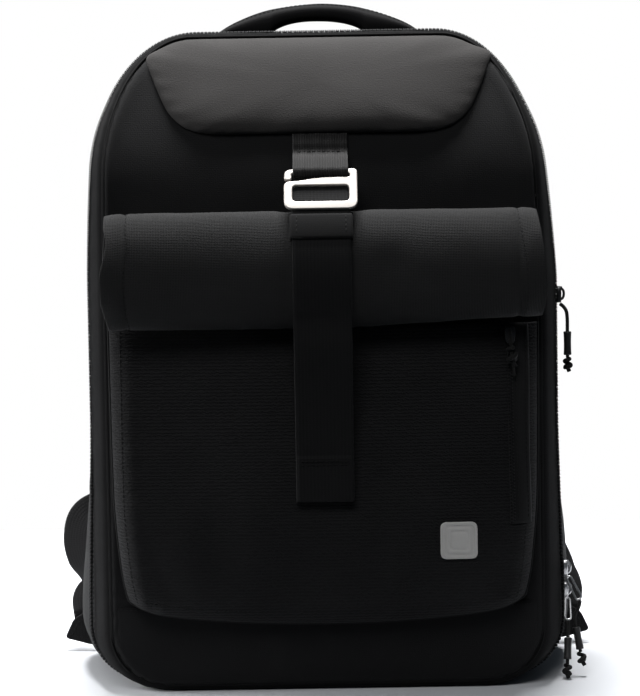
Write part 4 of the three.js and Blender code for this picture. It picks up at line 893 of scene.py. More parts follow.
def strip_points(start, end, depths_mm, inset=0.0):
    rings = [body_ring(d / BAG_DEPTH, inset) for d in depths_mm]
    index = np.arange(start, end + 1) % RING_COUNT
    return np.array([ring[index] for ring in rings]).transpose(1, 0, 2)


# The zip runs from 15 degrees up one base corner to 15 degrees up the other.
ZIP_START = CORNER_STEPS // 6
ZIP_END = RING_COUNT - (LEVEL_STEPS - 1) - 1 - CORNER_STEPS // 6


def zip_tape():
    depths = np.array([40.0, 41.2, 42.6, 44.0, 46.0, 48.0, 49.4, 50.8, 52.0])
    grid = strip_points(ZIP_START, ZIP_END, depths, 1.1)
    s = along_path(grid[:, 4])
    uv = np.zeros(grid.shape[:2] + (2,))
    uv[..., 0], uv[..., 1] = depths[None], s[:, None]
    obj = grid_mesh("zip_tape", grid, uv)
    n = outward(grid, False, (0, -36, 235))
    orient(obj, grid, n)
    thicken(obj, 1.2)
    return dress(obj, TAPE, "zip_tape", "main_zip")


def orient(obj, grid, n):
    """Makes the first face look the way its normal in n does."""
    first = obj.data.polygons[len(obj.data.polygons) // 2]
    centre = np.array(first.center) / MM
    nearest = np.argmin(np.sum((grid.reshape(-1, 3) - centre) ** 2, axis=1))
    if np.dot(np.array(first.normal), n.reshape(-1, 3)[nearest]) < 0:
        flip(obj)


def teeth(name, path, out, across, pitch, size, offset, material, slot_name):
    """Two rows of interlocked zip coils along a path."""
    long, wide, high = size
    s = along_path(path)
    spots = np.arange(pitch, s[-1] - pitch, pitch)
    centre = np.stack([np.interp(spots, s, path[:, k]) for k in range(3)], axis=1)
    o = unit(np.stack([np.interp(spots, s, out[:, k]) for k in range(3)], axis=1))
    a = unit(np.stack([np.interp(spots, s, across[:, k]) for k in range(3)], axis=1))
    along = unit(np.cross(a, o))
    profile = [(-0.5, 0), (-0.42, 0.7), (0, 1), (0.42, 0.7), (0.5, 0)]
    points, faces, uvs = [], [], []
    for i, c in enumerate(centre):
        side = 1 if i % 2 else -1
        base = len(points)
        for end in (-0.5, 0.5):
            for w, h in profile:
                points.append(c + a[i] * (w * wide + side * offset) + o[i] * h * high
                              + along[i] * end * long)
        for k in range(4):
            faces.append((base + k, base + k + 1, base + 6 + k, base + 5 + k))
        faces.append(tuple(base + k for k in (4, 3, 2, 1, 0)))
        faces.append(tuple(base + 5 + k for k in range(5)))
        faces.append((base, base + 5, base + 9, base + 4))
        uvs.extend([(0, 0)] * (16 + 5 + 5 + 4))
    obj = make_mesh(name, points, faces, uvs)
    face_out(obj)
    return dress(obj, material, slot_name)


def zip_chain():
    grid = strip_points(ZIP_START + 1, ZIP_END - 1, [45.0, 46.0, 47.0], -0.3)
    path = grid[:, 1]
    across = unit(grid[:, 2] - grid[:, 0])
    along = unit(np.gradient(path, axis=0))
    out = np.cross(along, across)
    middle = path - np.array((0, 0, 235.0))
    if np.median(np.sum(out * middle, axis=1)) < 0:
        out = -out
    fine = spline(path, 1.5)
    s, f = along_path(path), along_path(fine)
    out = np.stack([np.interp(f, s, out[:, k]) for k in range(3)], axis=1)
    across = np.stack([np.interp(f, s, across[:, k]) for k in range(3)], axis=1)
    teeth("zip_coils", fine, out, across, 1.35, (0.95, 3.1, 1.9), 1.15, COIL, "zip_tape")


def base_strip():
    count = RING_COUNT - ZIP_END + ZIP_START
    depths = np.array([40.0, 40.6, 42, 46, 50, 51.4, 52.0])
    grid = strip_points(ZIP_END, ZIP_END + count, depths, 0.4)
    n = outward(grid, False, (0, -36, 235))
    away = np.minimum(depths - 40, 52 - depths)[None]
    grid = grid + n * (0.35 * step(away, 0, 3))[..., None]
    grid[..., 2] = np.maximum(grid[..., 2], 0.02)
    s = along_path(grid[:, 3])
    uv = np.zeros(grid.shape[:2] + (2,))
    uv[..., 0], uv[..., 1] = s[:, None], depths[None]
    obj = grid_mesh("base_strip", grid, uv)
    orient(obj, grid, n)
    thicken(obj, 2.0)
    return dress(obj, BODY, "body_cloth", "base_gusset")


def front_edge_tape():
    """The dark tape sunk in the seam between the front and the sides."""
    ring = body_ring(0.9 / BAG_DEPTH, 0.7)
    index = np.arange(CORNER_STEPS // 2, RING_COUNT - (LEVEL_STEPS - 1) - CORNER_STEPS // 2)
    dress(tube("front_edge_tape", spline(ring[index], 3.0), 1.0, 8), SEAM, "body_cloth")


front_body()
front_edge_tape()
rear_body()
zip_tape()
zip_chain()
base_strip()

# Stitches, gathered while pieces are made and joined at the end

stitch_runs = {"body": [], "webbing": [], "back": []}


def stitch(path, out, group="body", pitch=3.4, length=2.5, radius=0.32, rise=0.15):
    """Adds a row of stitches along a path; out is the way the cloth faces there."""
    path = np.asarray(path, float)
    out = np.broadcast_to(np.asarray(out, float), path.shape)
    s = along_path(path)
    for at in np.arange(pitch / 2, s[-1] - length, pitch):
        ends = [np.array([np.interp(at + d, s, path[:, k]) for k in range(3)]) for d in (0, length)]
        o = unit([np.interp(at, s, out[:, k]) for k in range(3)])
        stitch_runs[group].append((ends[0] + o * rise, ends[1] + o * rise, o, radius))


def sew(name, runs, material, slot_name):
    points, faces = [], []
    for a, b, out, radius in runs:
        along = unit(b - a)
        side = unit(np.cross(along, out))
        base = len(points)
        for share, swell in ((0, 0.35), (0.22, 1), (0.78, 1), (1, 0.35)):
            middle = a + (b - a) * share - out * (0.25 * radius if swell < 1 else 0)
            for k in range(5):
                angle = 2 * math.pi * k / 5
                points.append(middle + radius * swell * (side * math.cos(angle) + out * math.sin(angle)))
        for r in range(3):
            for k in range(5):
                n = (k + 1) % 5
                p = base + r * 5
                faces.append((p + k, p + n, p + 5 + n, p + 5 + k))
        faces.append(tuple(base + k for k in (4, 3, 2, 1, 0)))
        faces.append(tuple(base + 15 + k for k in range(5)))
    count = sum(len(f) for f in faces)
    obj = face_out(make_mesh(name, points, faces, [(0, 0)] * count))
    return dress(obj, material, slot_name)


# Top pocket

TOP_POCKET_EDGE = [(0, 0.42), (0.02, 0.5), (0.07, 0.56), (0.2, 0.62), (0.42, 0.665), (0.76, 0.725)]
TOP_POCKET_HEIGHT = 74.5
CROWN = [(1, 0.0), (0.994, 0.13), (0.982, 0.25), (0.96, 0.38), (0.925, 0.52), (0.87, 0.66), (0.78, 0.81),
         (0.66, 0.91), (0.5, 0.97), (0.34, 0.99), (0.18, 1), (0.05, 1)]


def even(points, count, closed=True):
    """The same outline with evenly spaced points."""
    p = np.asarray(points, float)
    if closed:
        p = np.vstack([p, p[:1]])
    s = along_path(p)
    t = np.linspace(0, s[-1], count, endpoint=not closed)
    return np.stack([np.interp(t, s, p[:, k]) for k in range(p.shape[1])], axis=1)


def relax(points, rounds):
    p = np.asarray(points, float)
    for _ in range(rounds):
        p = 0.5 * p + 0.25 * (np.roll(p, 1, axis=0) + np.roll(p, -1, axis=0))
    return p


def pillow(name, edge, face, side, bulge, wrinkle, seed, crown=CROWN, folds=None):
    """A padded panel on a face, crowned, with its edge sewn down."""
    edge = np.asarray(edge, float)
    middle = edge.mean(0)
    rings = [np.stack([edge[:, 0], face(edge[:, 0], edge[:, 1]) + side * 0.3, edge[:, 1]], axis=1)]
    s = ring_arc(edge)
    for share, rise in crown:
        x = middle[0] + (edge[:, 0] - middle[0]) * share
        z = middle[1] + (edge[:, 1] - middle[1]) * share
        out = SEAT + bulge * rise
        y = face(x, z) + side * out
        ring = np.stack([x, y, z], axis=1)
        inner = 1 - share
        extra = wrinkle * noise3(ring, 42.0, seed) * step(inner, 0.02, 0.2)
        extra = extra + 0.35 * wrinkle * noise3(ring, 15.0, seed + 1) * step(inner, 0.02, 0.2)
        extra = extra + 0.3 * pucker(s, 11.0, seed) * bell(inner, 0.03, 0.04)
        if folds is not None:
            extra = extra + folds(x, z) * step(inner, 0.01, 0.1)
        ring[:, 1] += side * extra
        rings.append(ring)
    grid = np.array(rings)
    uv = np.stack([grid[..., 0], grid[..., 2]], axis=2)
    obj = grid_mesh(name, grid, uv, wrap=True, cap=True)
    return face_out(obj), grid


def top_pocket_outline():
    base = BAG_HEIGHT - FRONT_TOP_INSET - TOP_POCKET_HEIGHT + 4
    right = [(half * BAG_WIDTH / 2, base + up * TOP_POCKET_HEIGHT) for up, half in TOP_POCKET_EDGE]
    ring = body_ring(0.0, 2.0)
    upper = [(p[0], p[2]) for p in ring if p[2] > right[-1][1] + 4]
    left = [(-x, z) for x, z in reversed(right)]
    return relax(even(right + upper + left, 220), 6)


# Soft folds of the top pocket: x, z of the start, direction in degrees, width, height, length
TOP_FOLDS = [(-112, 398, 38, 5, 1.6, 38), (-108, 398, 62, 6, -1.4, 30), (-92, 397, 24, 5, 1.0, 46),
             (112, 398, 142, 5, 1.6, 38), (108, 398, 118, 6, -1.4, 30), (90, 397, 157, 5, 1.1, 50),
             (-40, 397, 80, 9, -0.7, 24), (52, 397, 104, 8, -0.8, 26)]


def top_folds(x, z):
    total = 0 * x
    for start_x, start_z, degrees, width, height, length in TOP_FOLDS:
        turn = math.radians(degrees)
        along = (x - start_x) * math.cos(turn) + (z - start_z) * math.sin(turn)
        aside = (z - start_z) * math.cos(turn) - (x - start_x) * math.sin(turn)
        spread = width * (1 + np.clip(along, 0, None) / length)
        total = total + height * np.exp(-((aside / spread) ** 2)) * step(along, -6, 4) * np.exp(
            -np.clip(along, 0, None) / length)
    return total


def top_pocket():
    edge = top_pocket_outline()
    obj, _ = pillow("top_pocket", edge, front_face, -1, 10.5, 0.9, 7, folds=top_folds)
    dress(obj, PANEL, "panel_cloth", "top_pocket_panel", fill=0.5)


top_pocket()

# Front panel below the pouch, with its soft pleats

POUCH_WIDTH, POUCH_BASE, POUCH_TOP = 303.0, 49.5, 262.0
POUCH_DEPTH, POUCH_WALL, POUCH_ROUNDING, POUCH_SAG = 28.0, 1.8, 16.0, 17.0
POUCH_HEIGHT = POUCH_TOP - POUCH_BASE
POUCH_PROFILE = np.array([(0, 0.72), (0.12, 0.92), (0.3, 1), (0.6, 0.75), (0.85, 0.45), (1, 0.3)])
POUCH_OUTLINE = np.array([(0, 0.84), (0.04, 0.905), (0.11, 0.94), (0.22, 0.965), (0.45, 0.99), (1, 1)])


def pouch_half(up):
    return POUCH_WIDTH / 2 * smooth(POUCH_OUTLINE[:, 0], POUCH_OUTLINE[:, 1], up)


def rounding(distance):
    return np.sqrt(np.maximum(0, 1 - (1 - np.clip(distance / POUCH_ROUNDING, 0, 1)) ** 2))


def pouch_rise(side, bottom, up):
    depth = smooth(POUCH_PROFILE[:, 0], POUCH_PROFILE[:, 1], up)
    return POUCH_DEPTH * depth * rounding(side) * rounding(bottom)


# How the pouch's base line rises towards its corners: share of the half width, share of POUCH_SAG
POUCH_LOW = np.array([(0, 0), (0.3, 0.04), (0.55, 0.15), (0.75, 0.3), (0.87, 0.46), (0.94, 0.66), (1, 1)])


def low_at(share):
    return POUCH_BASE + POUCH_SAG * smooth(POUCH_LOW[:, 0], POUCH_LOW[:, 1], np.abs(share))


def pouch_low(x):
    return low_at(x / pouch_half(0.0))


def pouch_folds(x, z):
    """Main folds of the pouch, as how far they stand out."""
    lift = -3.2 * bell(x, -26, 17) * bell(z, 84, 26)
    lift += 2.0 * bell(x, -50, 16) * bell(z, 92, 36)
    lift += 2.6 * bell(x, 52 - (z - 60) * 0.03, 8.5) * bell(z, 84, 34)
    lift -= 1.8 * bell(x, 72, 11) * bell(z, 78, 24)
    lift -= 1.4 * bell(x, 30, 10) * bell(z, 76, 22)
    lift += 1.3 * bell(x, -98, 18) * bell(z, 110, 34)
    lift -= 1.2 * bell(x + 0.35 * (z - 90), -116, 7) * bell(z, 86, 18)
    lift += 1.0 * bell(x - 0.4 * (z - 90), 112, 8) * bell(z, 92, 22)
    return lift


def pouch_face(x, z):
    x, z = np.asarray(x, float), np.asarray(z, float)
    up = (z - POUCH_BASE) / POUCH_HEIGHT
    side = pouch_half(up) - np.abs(x)
    low = low_at(x / pouch_half(up))
    return front_face(x, z) - SEAT - pouch_rise(side, z - low, up)


def lower_panel():
    """The panel under the pouch: a second cloth with soft upright pleats."""
    edge = body_ring(0.0, 3.2)
    lower = edge[(edge[:, 2] < 66)]
    lower = lower[np.argsort(lower[:, 0])]
    cols = np.concatenate([np.linspace(-1, -0.9, 14), np.linspace(-0.89, 0.89, 150), np.linspace(0.9, 1, 14)])
    half = np.max(lower[:, 0])
    x = cols * half
    floor_z = np.interp(x, lower[:, 0], lower[:, 2])
    floor_z = np.where(np.abs(x) > half - 0.3, 50.0, floor_z)
    top_z = np.minimum(62.5, pouch_low(x) + 3.0) + 0.0 * x
    top_z = np.maximum(top_z, floor_z + 1.0)
    rows = np.concatenate([[0, 0.02, 0.06], np.linspace(0.12, 0.9, 18), [0.95, 0.985, 1]])
    grid = np.zeros((len(rows), len(x), 3))
    for r, t in enumerate(rows):
        z = floor_z + (top_z - floor_z) * t
        edge_away = np.minimum(np.minimum(t, 1 - t) * (top_z - floor_z), half - np.abs(x))
        lift = 0.5 + 0.9 * step(edge_away, 0, 3.5)
        pleat = np.sin(x / 8.3 + 1.6 * np.sin(x / 23.0) + 0.5) * bell(x, 5, 62)
        pleat = pleat + 0.5 * np.sin(x / 4.9 + 2.0) * bell(x, -30, 40)
        lift = lift + 0.95 * pleat * step(edge_away, 0, 14) * (0.6 + 0.4 * t)
        p = np.stack([x, front_face(x, z), z], axis=1)
        lift = lift + 0.5 * noise3(p, 30.0, 11) * step(edge_away, 0, 10)
        p[:, 1] -= lift
        grid[r] = p
    uv = np.stack([grid[..., 0], grid[..., 2]], axis=2)
    obj = grid_mesh("lower_front_panel", grid, uv)
    orient(obj, grid, np.broadcast_to((0.0, -1.0, 0.0), grid.shape))
    thicken(obj, 1.0)
    dress(obj, BODY, "body_cloth")
    for side in (-1, 1):
        sel = (cols * side > 0.78) & (cols * side < 0.985)
        path = grid[-3][sel]
        stitch(path, (0, -1, 0))


lower_panel()


def pouch():
    cols = np.concatenate([
        -1 + np.array([0, 0.004, 0.01, 0.018, 0.028, 0.04, 0.055, 0.07, 0.085]),
        np.linspace(-0.9, 0.9, 150),
        1 - np.array([0, 0.004, 0.01, 0.018, 0.028, 0.04, 0.055, 0.07, 0.085])[::-1],
    ])
    rows = np.concatenate([[0, 0.004, 0.01, 0.018, 0.028, 0.04, 0.055, 0.07], np.linspace(0.085, 1, 90)])
    grid = np.zeros((len(rows), len(cols), 3))
    for r, up in enumerate(rows):
        low = low_at(cols)
        z = low + (POUCH_TOP - low) * up
        height = (z - POUCH_BASE) / POUCH_HEIGHT
        half = pouch_half(height)
        x = cols * half
        side = (1 - np.abs(cols)) * half
        bottom = z - low
        rise = pouch_rise(side, bottom, height)
        p = np.stack([x, front_face(x, z) - SEAT - rise, z], axis=1)
        inside = step(np.minimum(side, bottom), 2, 26)
        lift = pouch_folds(x, z) * inside
        lift = lift + 1.3 * noise3(p, 68.0, 21) * inside + 0.45 * noise3(p, 23.0, 22) * inside
        lift = lift + 0.5 * pucker(x, 15.0, 3) * bell(bottom, 9, 7)
        lift = lift + 0.4 * pucker(z, 19.0, 4) * bell(side, 9, 7)
        for sx, dart_x, dart_z in ((-1, -121, 66), (1, 131, 73)):
            d = np.hypot(x - dart_x, z - dart_z)
            run = (x - dart_x) * sx * 0.78 - (z - dart_z) * 0.62
            across = (x - dart_x) * sx * 0.62 + (z - dart_z) * 0.78
            lift = lift - 2.4 * bell(across, 0, 1.9) * np.exp(-np.clip(d - 4, 0, None) / 5.0)
            lift = lift + 1.3 * bell(across, -4.5, 3.0) * bell(run, 0, 11)
        lift = np.where((side < 0.4) | (bottom < 0.4), 0, lift)
        p[:, 1] -= np.maximum(lift, -np.maximum(rise - 0.5, 0))
        grid[r] = p
    uv = np.stack([grid[..., 0], grid[..., 2]], axis=2)
    obj = grid_mesh("pouch", grid, uv)
    orient(obj, grid, np.broadcast_to((0.0, -1.0, 0.0), grid.shape))
    thicken(obj, POUCH_WALL)
    dress(obj, POUCH, "pouch_cloth", "front_pocket")
    n = outward(grid, False, (0, 0, 150))
    for c in (6, len(cols) - 7):
        stitch(grid[4:, c], n[4:, c])
    stitch(grid[6, 8:-8], n[6, 8:-8])
    rim = np.vstack([grid[::-1, 0], grid[0, 1:-1], grid[:, -1]])
    rim[:, 1] -= 0.4
    dress(tube("pouch_piping", spline(relax_open(rim, 3), 3.0), 1.15, sides=8), BINDING, "pouch_cloth")
    return grid


def relax_open(points, rounds):
    p = np.asarray(points, float)
    for _ in range(rounds):
        q = p.copy()
        q[1:-1] = 0.5 * p[1:-1] + 0.25 * (p[2:] + p[:-2])
        p = q
    return p


pouch_grid = pouch()

# Rolled mouth

ROLL_WIDTH, ROLL_TOP = 304.0, 343.0
ROLL_HALF_DEPTH, ROLL_HALF_HEIGHT = 22.0, 43.5
ROLL_TURNS, ROLL_PITCH, ROLL_SHEET, ROLL_START = 3.5, 5.5, 3.0, -50.0


def roll_shrink(angle):
    return ROLL_PITCH * (angle - ROLL_START) / 360


ROLL_MIDDLE_UP = ROLL_TOP - ROLL_HALF_HEIGHT + roll_shrink(90) - ROLL_SHEET / 2
ROLL_MIDDLE_Y = float(front_face(0, ROLL_MIDDLE_UP)) - SEAT - ROLL_SHEET / 2 - ROLL_HALF_DEPTH


def roll_point(angle, off=0.0):
    turn = math.radians(angle)
    return np.array([
        ROLL_MIDDLE_Y + (ROLL_HALF_DEPTH - roll_shrink(angle) + off) * math.cos(turn),
        ROLL_MIDDLE_UP + (ROLL_HALF_HEIGHT - roll_shrink(angle) + off) * math.sin(turn),
    ])


# How far the roll's ends stand out past its half width, by height in millimetres
ROLL_END_LEFT = np.array([(256, -3.5), (268, -0.5), (280, 2.2), (300, 2.6), (312, -0.5), (322, -2.8), (332, -1.0), (345, -1.5)])
ROLL_END_RIGHT = np.array([(256, 1.0), (268, 3.5), (285, 4.6), (300, 3.6), (315, 2.0), (326, 0.2), (345, -3.2)])


# How much the roll's lower half draws up, as a share of its half height, by place across
ROLL_DRAWN_UP = np.array([(-152, 0.05), (-40, 0.04), (-20, 0.015), (20, 0.015), (60, 0.11), (139, 0.2), (152, 0.22)])


def roll():
    angles = np.linspace(ROLL_START, ROLL_START + ROLL_TURNS * 360, 260)
    cols = np.concatenate([np.linspace(-1, -0.86, 16), np.linspace(-0.85, 0.85, 96), np.linspace(0.86, 1, 16)])
    grid = np.zeros((len(angles), len(cols), 3))
    for r, angle in enumerate(angles):
        y, z = roll_point(angle)
        layer = (angle - ROLL_START) / 360
        left = float(np.interp(z, ROLL_END_LEFT[:, 0], ROLL_END_LEFT[:, 1])) - 1.5 * layer
        right = float(np.interp(z, ROLL_END_RIGHT[:, 0], ROLL_END_RIGHT[:, 1])) - 1.8 * layer
        half = ROLL_WIDTH / 2
        x = np.where(cols < 0, cols * (half + left), cols * (half + right))
        turn = math.radians(angle)
        out = np.array([0, math.cos(turn) * 0.95, math.sin(turn)])
        p = np.stack([x, np.full(len(x), y), np.full(len(x), z)], axis=1)
        lift = 0.9 * noise3(p, 55.0, 31) + 0.35 * noise3(p, 19.0, 32)
        lift = lift - 1.6 * bell(x, 47, 14) * bell(z, 306, 12) * (math.cos(turn) < 0)
        lift = lift - 1.0 * bell(np.abs(x), 136, 2.0) + 0.8 * bell(np.abs(x), 146, 6)
        lift = lift - 1.0 * bell(np.abs(x), 24, 6)
        ends = step(np.abs(x), 136, 154)
        lift = lift + ends * 2.2 * math.sin(2.5 * turn + 0.8)
        allowed = 0.9 if layer > 0.97 or math.cos(turn) > 0.3 else 1.6
        lift = np.clip(lift, -allowed - 0.8, allowed)
        grid[r] = p + out[None] * lift[:, None]
    under = np.minimum(grid[..., 2] - ROLL_MIDDLE_UP, 0)
    grid[..., 2] -= under * np.interp(grid[..., 0], ROLL_DRAWN_UP[:, 0], ROLL_DRAWN_UP[:, 1])
    grid[..., 1] = np.minimum(grid[..., 1], front_face(grid[..., 0], grid[..., 2]) - SEAT - 1.5)
    s = along_path(grid[:, 60])
    uv = np.zeros(grid.shape[:2] + (2,))
    uv[..., 0], uv[..., 1] = grid[..., 0], s[:, None]
    obj = grid_mesh("rolled_mouth", grid, uv)
    centre = np.array((0, ROLL_MIDDLE_Y, ROLL_MIDDLE_UP))
    n = outward(grid, False, centre)
    orient(obj, grid, n)
    thicken(obj, ROLL_SHEET, 0.0)
    dress(obj, ROLL, "roll_cloth", "pocket_roll")
    first = angles < ROLL_START + 352
    for x_at in (-135.5, 137.5):
        c = int(np.argmin(np.abs(grid[20, :, 0] - x_at)))
        stitch(grid[first, c] + n[first, c] * ROLL_SHEET / 2, n[first, c])
    return grid


roll()

# Strap, keeper, hook and loop

STRAP_WIDTH, STRAP_THICK, STRAP_END, STRAP_HEM = 40.5, 1.8, 141.0, 31.0
STRAP_ANCHOR, STRAP_HANG, HEM_STEP, KEEPER_WALL = 205.0, 5.0, 0.6, 1.2
HOOK_WIDTH, HOOK_HEIGHT, HOOK_THICK, HOOK_TILT = 50.8, 32.8, 2.8, 35.0
HOOK_BAR_RADIUS, HOOK_BAR_UP, HOOK_BAR_BEHIND = 1.5, 17.2, 4.5
HOOK_LOWER_BAR, HOOK_MIDDLE_LOW, HOOK_MIDDLE_HIGH = 6.0, 19.5, 22.8
HOOK_MIDDLE_HIGH_RIGHT, HOOK_TOP_BAR_LOW, HOOK_TIP_LOW, HOOK_LEG = 26.2, 29.3, 24.0, 5.7
STRAP_LEAVES_ROLL = 118.0
LOOP_WIDTH, LOOP_THICK, TAB_TOP, TAB_SEAM = 38.5, 1.6, 396.5, 383.5
LAYER_IN = ROLL_SHEET / 2 + SEAT + KEEPER_WALL + GAP + STRAP_THICK / 2
LAYER_OUT = LAYER_IN + STRAP_THICK + GAP
HOOK_ANGLE = math.radians(90 - HOOK_TILT)
HOOK_UP = np.array([math.cos(HOOK_ANGLE), math.sin(HOOK_ANGLE)])
HOOK_OUT = np.array([-HOOK_UP[1], HOOK_UP[0]])
HOOK_FOOT = (roll_point(STRAP_LEAVES_ROLL, LAYER_OUT) + HOOK_OUT * (STRAP_THICK / 2 + GAP + HOOK_THICK / 2)
             + HOOK_UP)
STRAP_FALL = [(1, 0.82), (0.4, 0.6), (0.1, 0.42)]


def on_hook(up, out):
    return HOOK_FOOT + HOOK_UP * up + HOOK_OUT * out


def around_bar(middle, radius, start, end, steps):
    a = np.radians(np.linspace(start, end, steps + 1))
    return [middle + radius * np.array([math.cos(t), math.sin(t)]) for t in a]


def as3(points, x=0.0):
    p = np.asarray(points, float)
    return np.stack([np.full(len(p), x), p[:, 0], p[:, 1]], axis=1)


def strap_path():
    bar = on_hook(HOOK_BAR_UP, -HOOK_BAR_BEHIND)
    up_degrees = 90 - HOOK_TILT
    points = [np.array([float(pouch_face(0, z)) - SEAT - STRAP_THICK / 2, z])
              for z in (STRAP_ANCHOR, 225, 240)]
    points += [roll_point(a, LAYER_IN) for a in (245, 225, 205, 185, 165, 150, 134, STRAP_LEAVES_ROLL, 104)]
    points += around_bar(bar, HOOK_BAR_RADIUS + GAP + STRAP_THICK / 2, up_degrees - 95, up_degrees + 90, 6)
    points.append(on_hook(HOOK_LOWER_BAR / 2, -(HOOK_THICK / 2 + GAP + STRAP_THICK / 2)))
    upper = [roll_point(a, LAYER_OUT) for a in (STRAP_LEAVES_ROLL, 134, 150, 165, 185, 205, 222)]
    points += upper
    front = upper[-1]
    rest = float(pouch_face(0, STRAP_END)) - STRAP_HANG
    for out, up in STRAP_FALL:
        points.append(np.array([rest + (front[0] - rest) * out, STRAP_END + (front[1] - STRAP_END) * up]))
    points += [np.array([rest, STRAP_END + STRAP_HEM + HEM_STEP]), np.array([rest, STRAP_END + STRAP_HEM]),
               np.array([rest, STRAP_END])]
    return points


def strap():
    path = spline(as3(strap_path()), 1.6)
    s = along_path(path)
    hem = step(s, s[-1] - STRAP_HEM - 1.2, s[-1] - STRAP_HEM)
    thick = 1 + hem
    section = flat_section(STRAP_WIDTH, STRAP_THICK, 14)

    def ripple(grid, wide, through):
        t = s[:, None]
        fall = step(t, s[-1] - 170, s[-1] - 120)
        lift = fall * (0.7 * np.sin(t / 31.0 + 0.6) + 0.5 * noise3(grid, 26.0, 41))
        return through[:, None] * lift[..., None]

    obj = sweep("front_strap_webbing", path, (1, 0, 0), section, thicks=thick, lift=ripple)
    dress(obj, WEB, "webbing", "front_strap")
    return path


def strap_stitches(path):
    s = along_path(path)
    out_front = np.array((0, -1.0, 0))
    for back in (STRAP_HEM - 2.5, STRAP_HEM - 5.0):
        at = np.array([np.interp(s[-1] - back, s, path[:, k]) for k in range(3)])
        y = at[1] - STRAP_THICK - 0.75
        line = np.array([(x, y, at[2]) for x in np.linspace(-18.5, 18.5, 12)])
        stitch(line, out_front, "webbing", radius=0.36)


path_of_strap = strap()
strap_stitches(path_of_strap)


def keeper():
    middle = (LAYER_IN + LAYER_OUT) / 2
    inside = LAYER_OUT - LAYER_IN + STRAP_THICK + 2 * GAP
    angles = np.linspace(122, 149, 12)
    half_w, half_t = STRAP_WIDTH / 2 + GAP, inside / 2
    wall = KEEPER_WALL
    outer = rounded(box2(2 * (half_w + wall), 2 * (half_t + wall)), 1.8, 5)
    inner = rounded(box2(2 * half_w, 2 * half_t), 1.0, 5)
    rings = []
    for angle in angles:
        y, z = roll_point(angle, middle)
        turn = math.radians(angle)
        along = unit(np.array([0, -math.sin(turn) * ROLL_HALF_DEPTH, math.cos(turn) * ROLL_HALF_HEIGHT]))
        through = unit(np.cross((1, 0, 0), along))
        rings.append((np.array((0, y, z)), through))
    loops = []
    for loop, swell in ((outer, 1.0), (inner, 0.0)):
        part = []
        for i, (c, through) in enumerate(rings):
            lip = 0.35 * swell if i in (0, len(rings) - 1) else 0.0
            part.append(np.array([c + np.array((1.0, 0, 0)) * p[0] * (1 - lip * 0.02)
                                  + through * p[1] * (1 - lip * 0.1) for p in loop]))
        loops.append(part)
    sequence = loops[0] + loops[1][::-1] + loops[0][:1]
    grid = np.array(sequence)
    uv = np.zeros(grid.shape[:2] + (2,))
    uv[..., 0] = np.array([p[0] for p in outer])[None]
    uv[..., 1] = (np.arange(len(sequence)) * 1.7)[:, None]
    obj = face_out(weld(grid_mesh("strap_keeper_loop", grid, uv, wrap=True)))
    dress(obj, KEEPER, "webbing", "strap_keeper")
    for x in (-17.0, 17.0):
        line = []
        for angle in np.linspace(124, 147, 8):
            y, z = roll_point(angle, middle + half_t + wall)
            line.append((x, y, z))
        stitch(np.array(line), unit(np.array((0, -0.8, 0.6))), "webbing", radius=0.34)


keeper()


def hook():
    half = HOOK_WIDTH / 2
    inner = half - HOOK_LEG
    bevel = 0.7
    corners = [
        (-half, 0), (half, 0), (half, HOOK_HEIGHT), (inner - 0.5, HOOK_HEIGHT), (inner - 1.6, HOOK_HEIGHT - 1.2),
        (-inner + 1.6, HOOK_HEIGHT - 1.2), (-inner + 0.5, HOOK_HEIGHT), (-half + 0.8, HOOK_HEIGHT - 1.0),
        (-half, HOOK_TIP_LOW), (-inner - 0.3, HOOK_TIP_LOW), (-inner - 0.6, HOOK_TOP_BAR_LOW),
        (inner + 0.5, HOOK_TOP_BAR_LOW), (inner + 0.8, HOOK_MIDDLE_HIGH_RIGHT),
        (-inner * 0.1, HOOK_MIDDLE_HIGH_RIGHT - 0.6), (-inner * 0.75, HOOK_MIDDLE_HIGH + 0.3),
        (-half, HOOK_MIDDLE_HIGH - 0.4),
    ]
    radii = [7, 7, 7, 1.0, 1.0, 1.0, 1.0, 4.5, 2.6, 2.0, 1.2, 1.4, 1.4, 9, 6, 4.0]
    shape = inward(rounded(corners, radii, 8), bevel)
    slot_high, slot_mid = HOOK_MIDDLE_LOW - HOOK_LOWER_BAR, (HOOK_MIDDLE_LOW + HOOK_LOWER_BAR) / 2
    hole = inward(rounded(box2(2 * inner, slot_high, 0, slot_mid), 3.4, 8), -bevel)
    out = Vector((0, HOOK_OUT[0], HOOK_OUT[1]))
    place = turned_to((0, HOOK_FOOT[0], HOOK_FOOT[1]), out, (0, HOOK_UP[0], HOOK_UP[1]))
    body = plate("hook_frame", [shape, hole], HOOK_THICK, bevel, place, 4)
    body.data.polygons.foreach_set("use_smooth", [True] * len(body.data.polygons))
    parts = [body]
    y, z = on_hook(HOOK_BAR_UP, -HOOK_BAR_BEHIND)
    parts.append(tube("hook_bar", [(x, y, z) for x in np.linspace(-inner - 2, inner + 2, 14)],
                      HOOK_BAR_RADIUS, 16))
    for side in (-1, 1):
        ears = [on_hook(HOOK_BAR_UP, d) for d in (-HOOK_BAR_BEHIND - 1.2, -HOOK_BAR_BEHIND / 2, -0.4)]
        section = flat_section(3.3, 3.0, 4)
        ear = sweep("hook_ear", as3(ears, side * (inner + HOOK_LEG / 2 - 0.4)), (1, 0, 0), section)
        parts.append(ear)
    obj = join("g_hook", parts)
    obj.data.polygons.foreach_set("use_smooth", [True] * len(obj.data.polygons))
    add_edge_split(obj, 50)
    dress(obj, ALLOY, "hook_metal", "g_hook_buckle")


def add_edge_split(obj, degrees):
    m = obj.modifiers.new("edges", "EDGE_SPLIT")
    m.split_angle = math.radians(degrees)


hook()


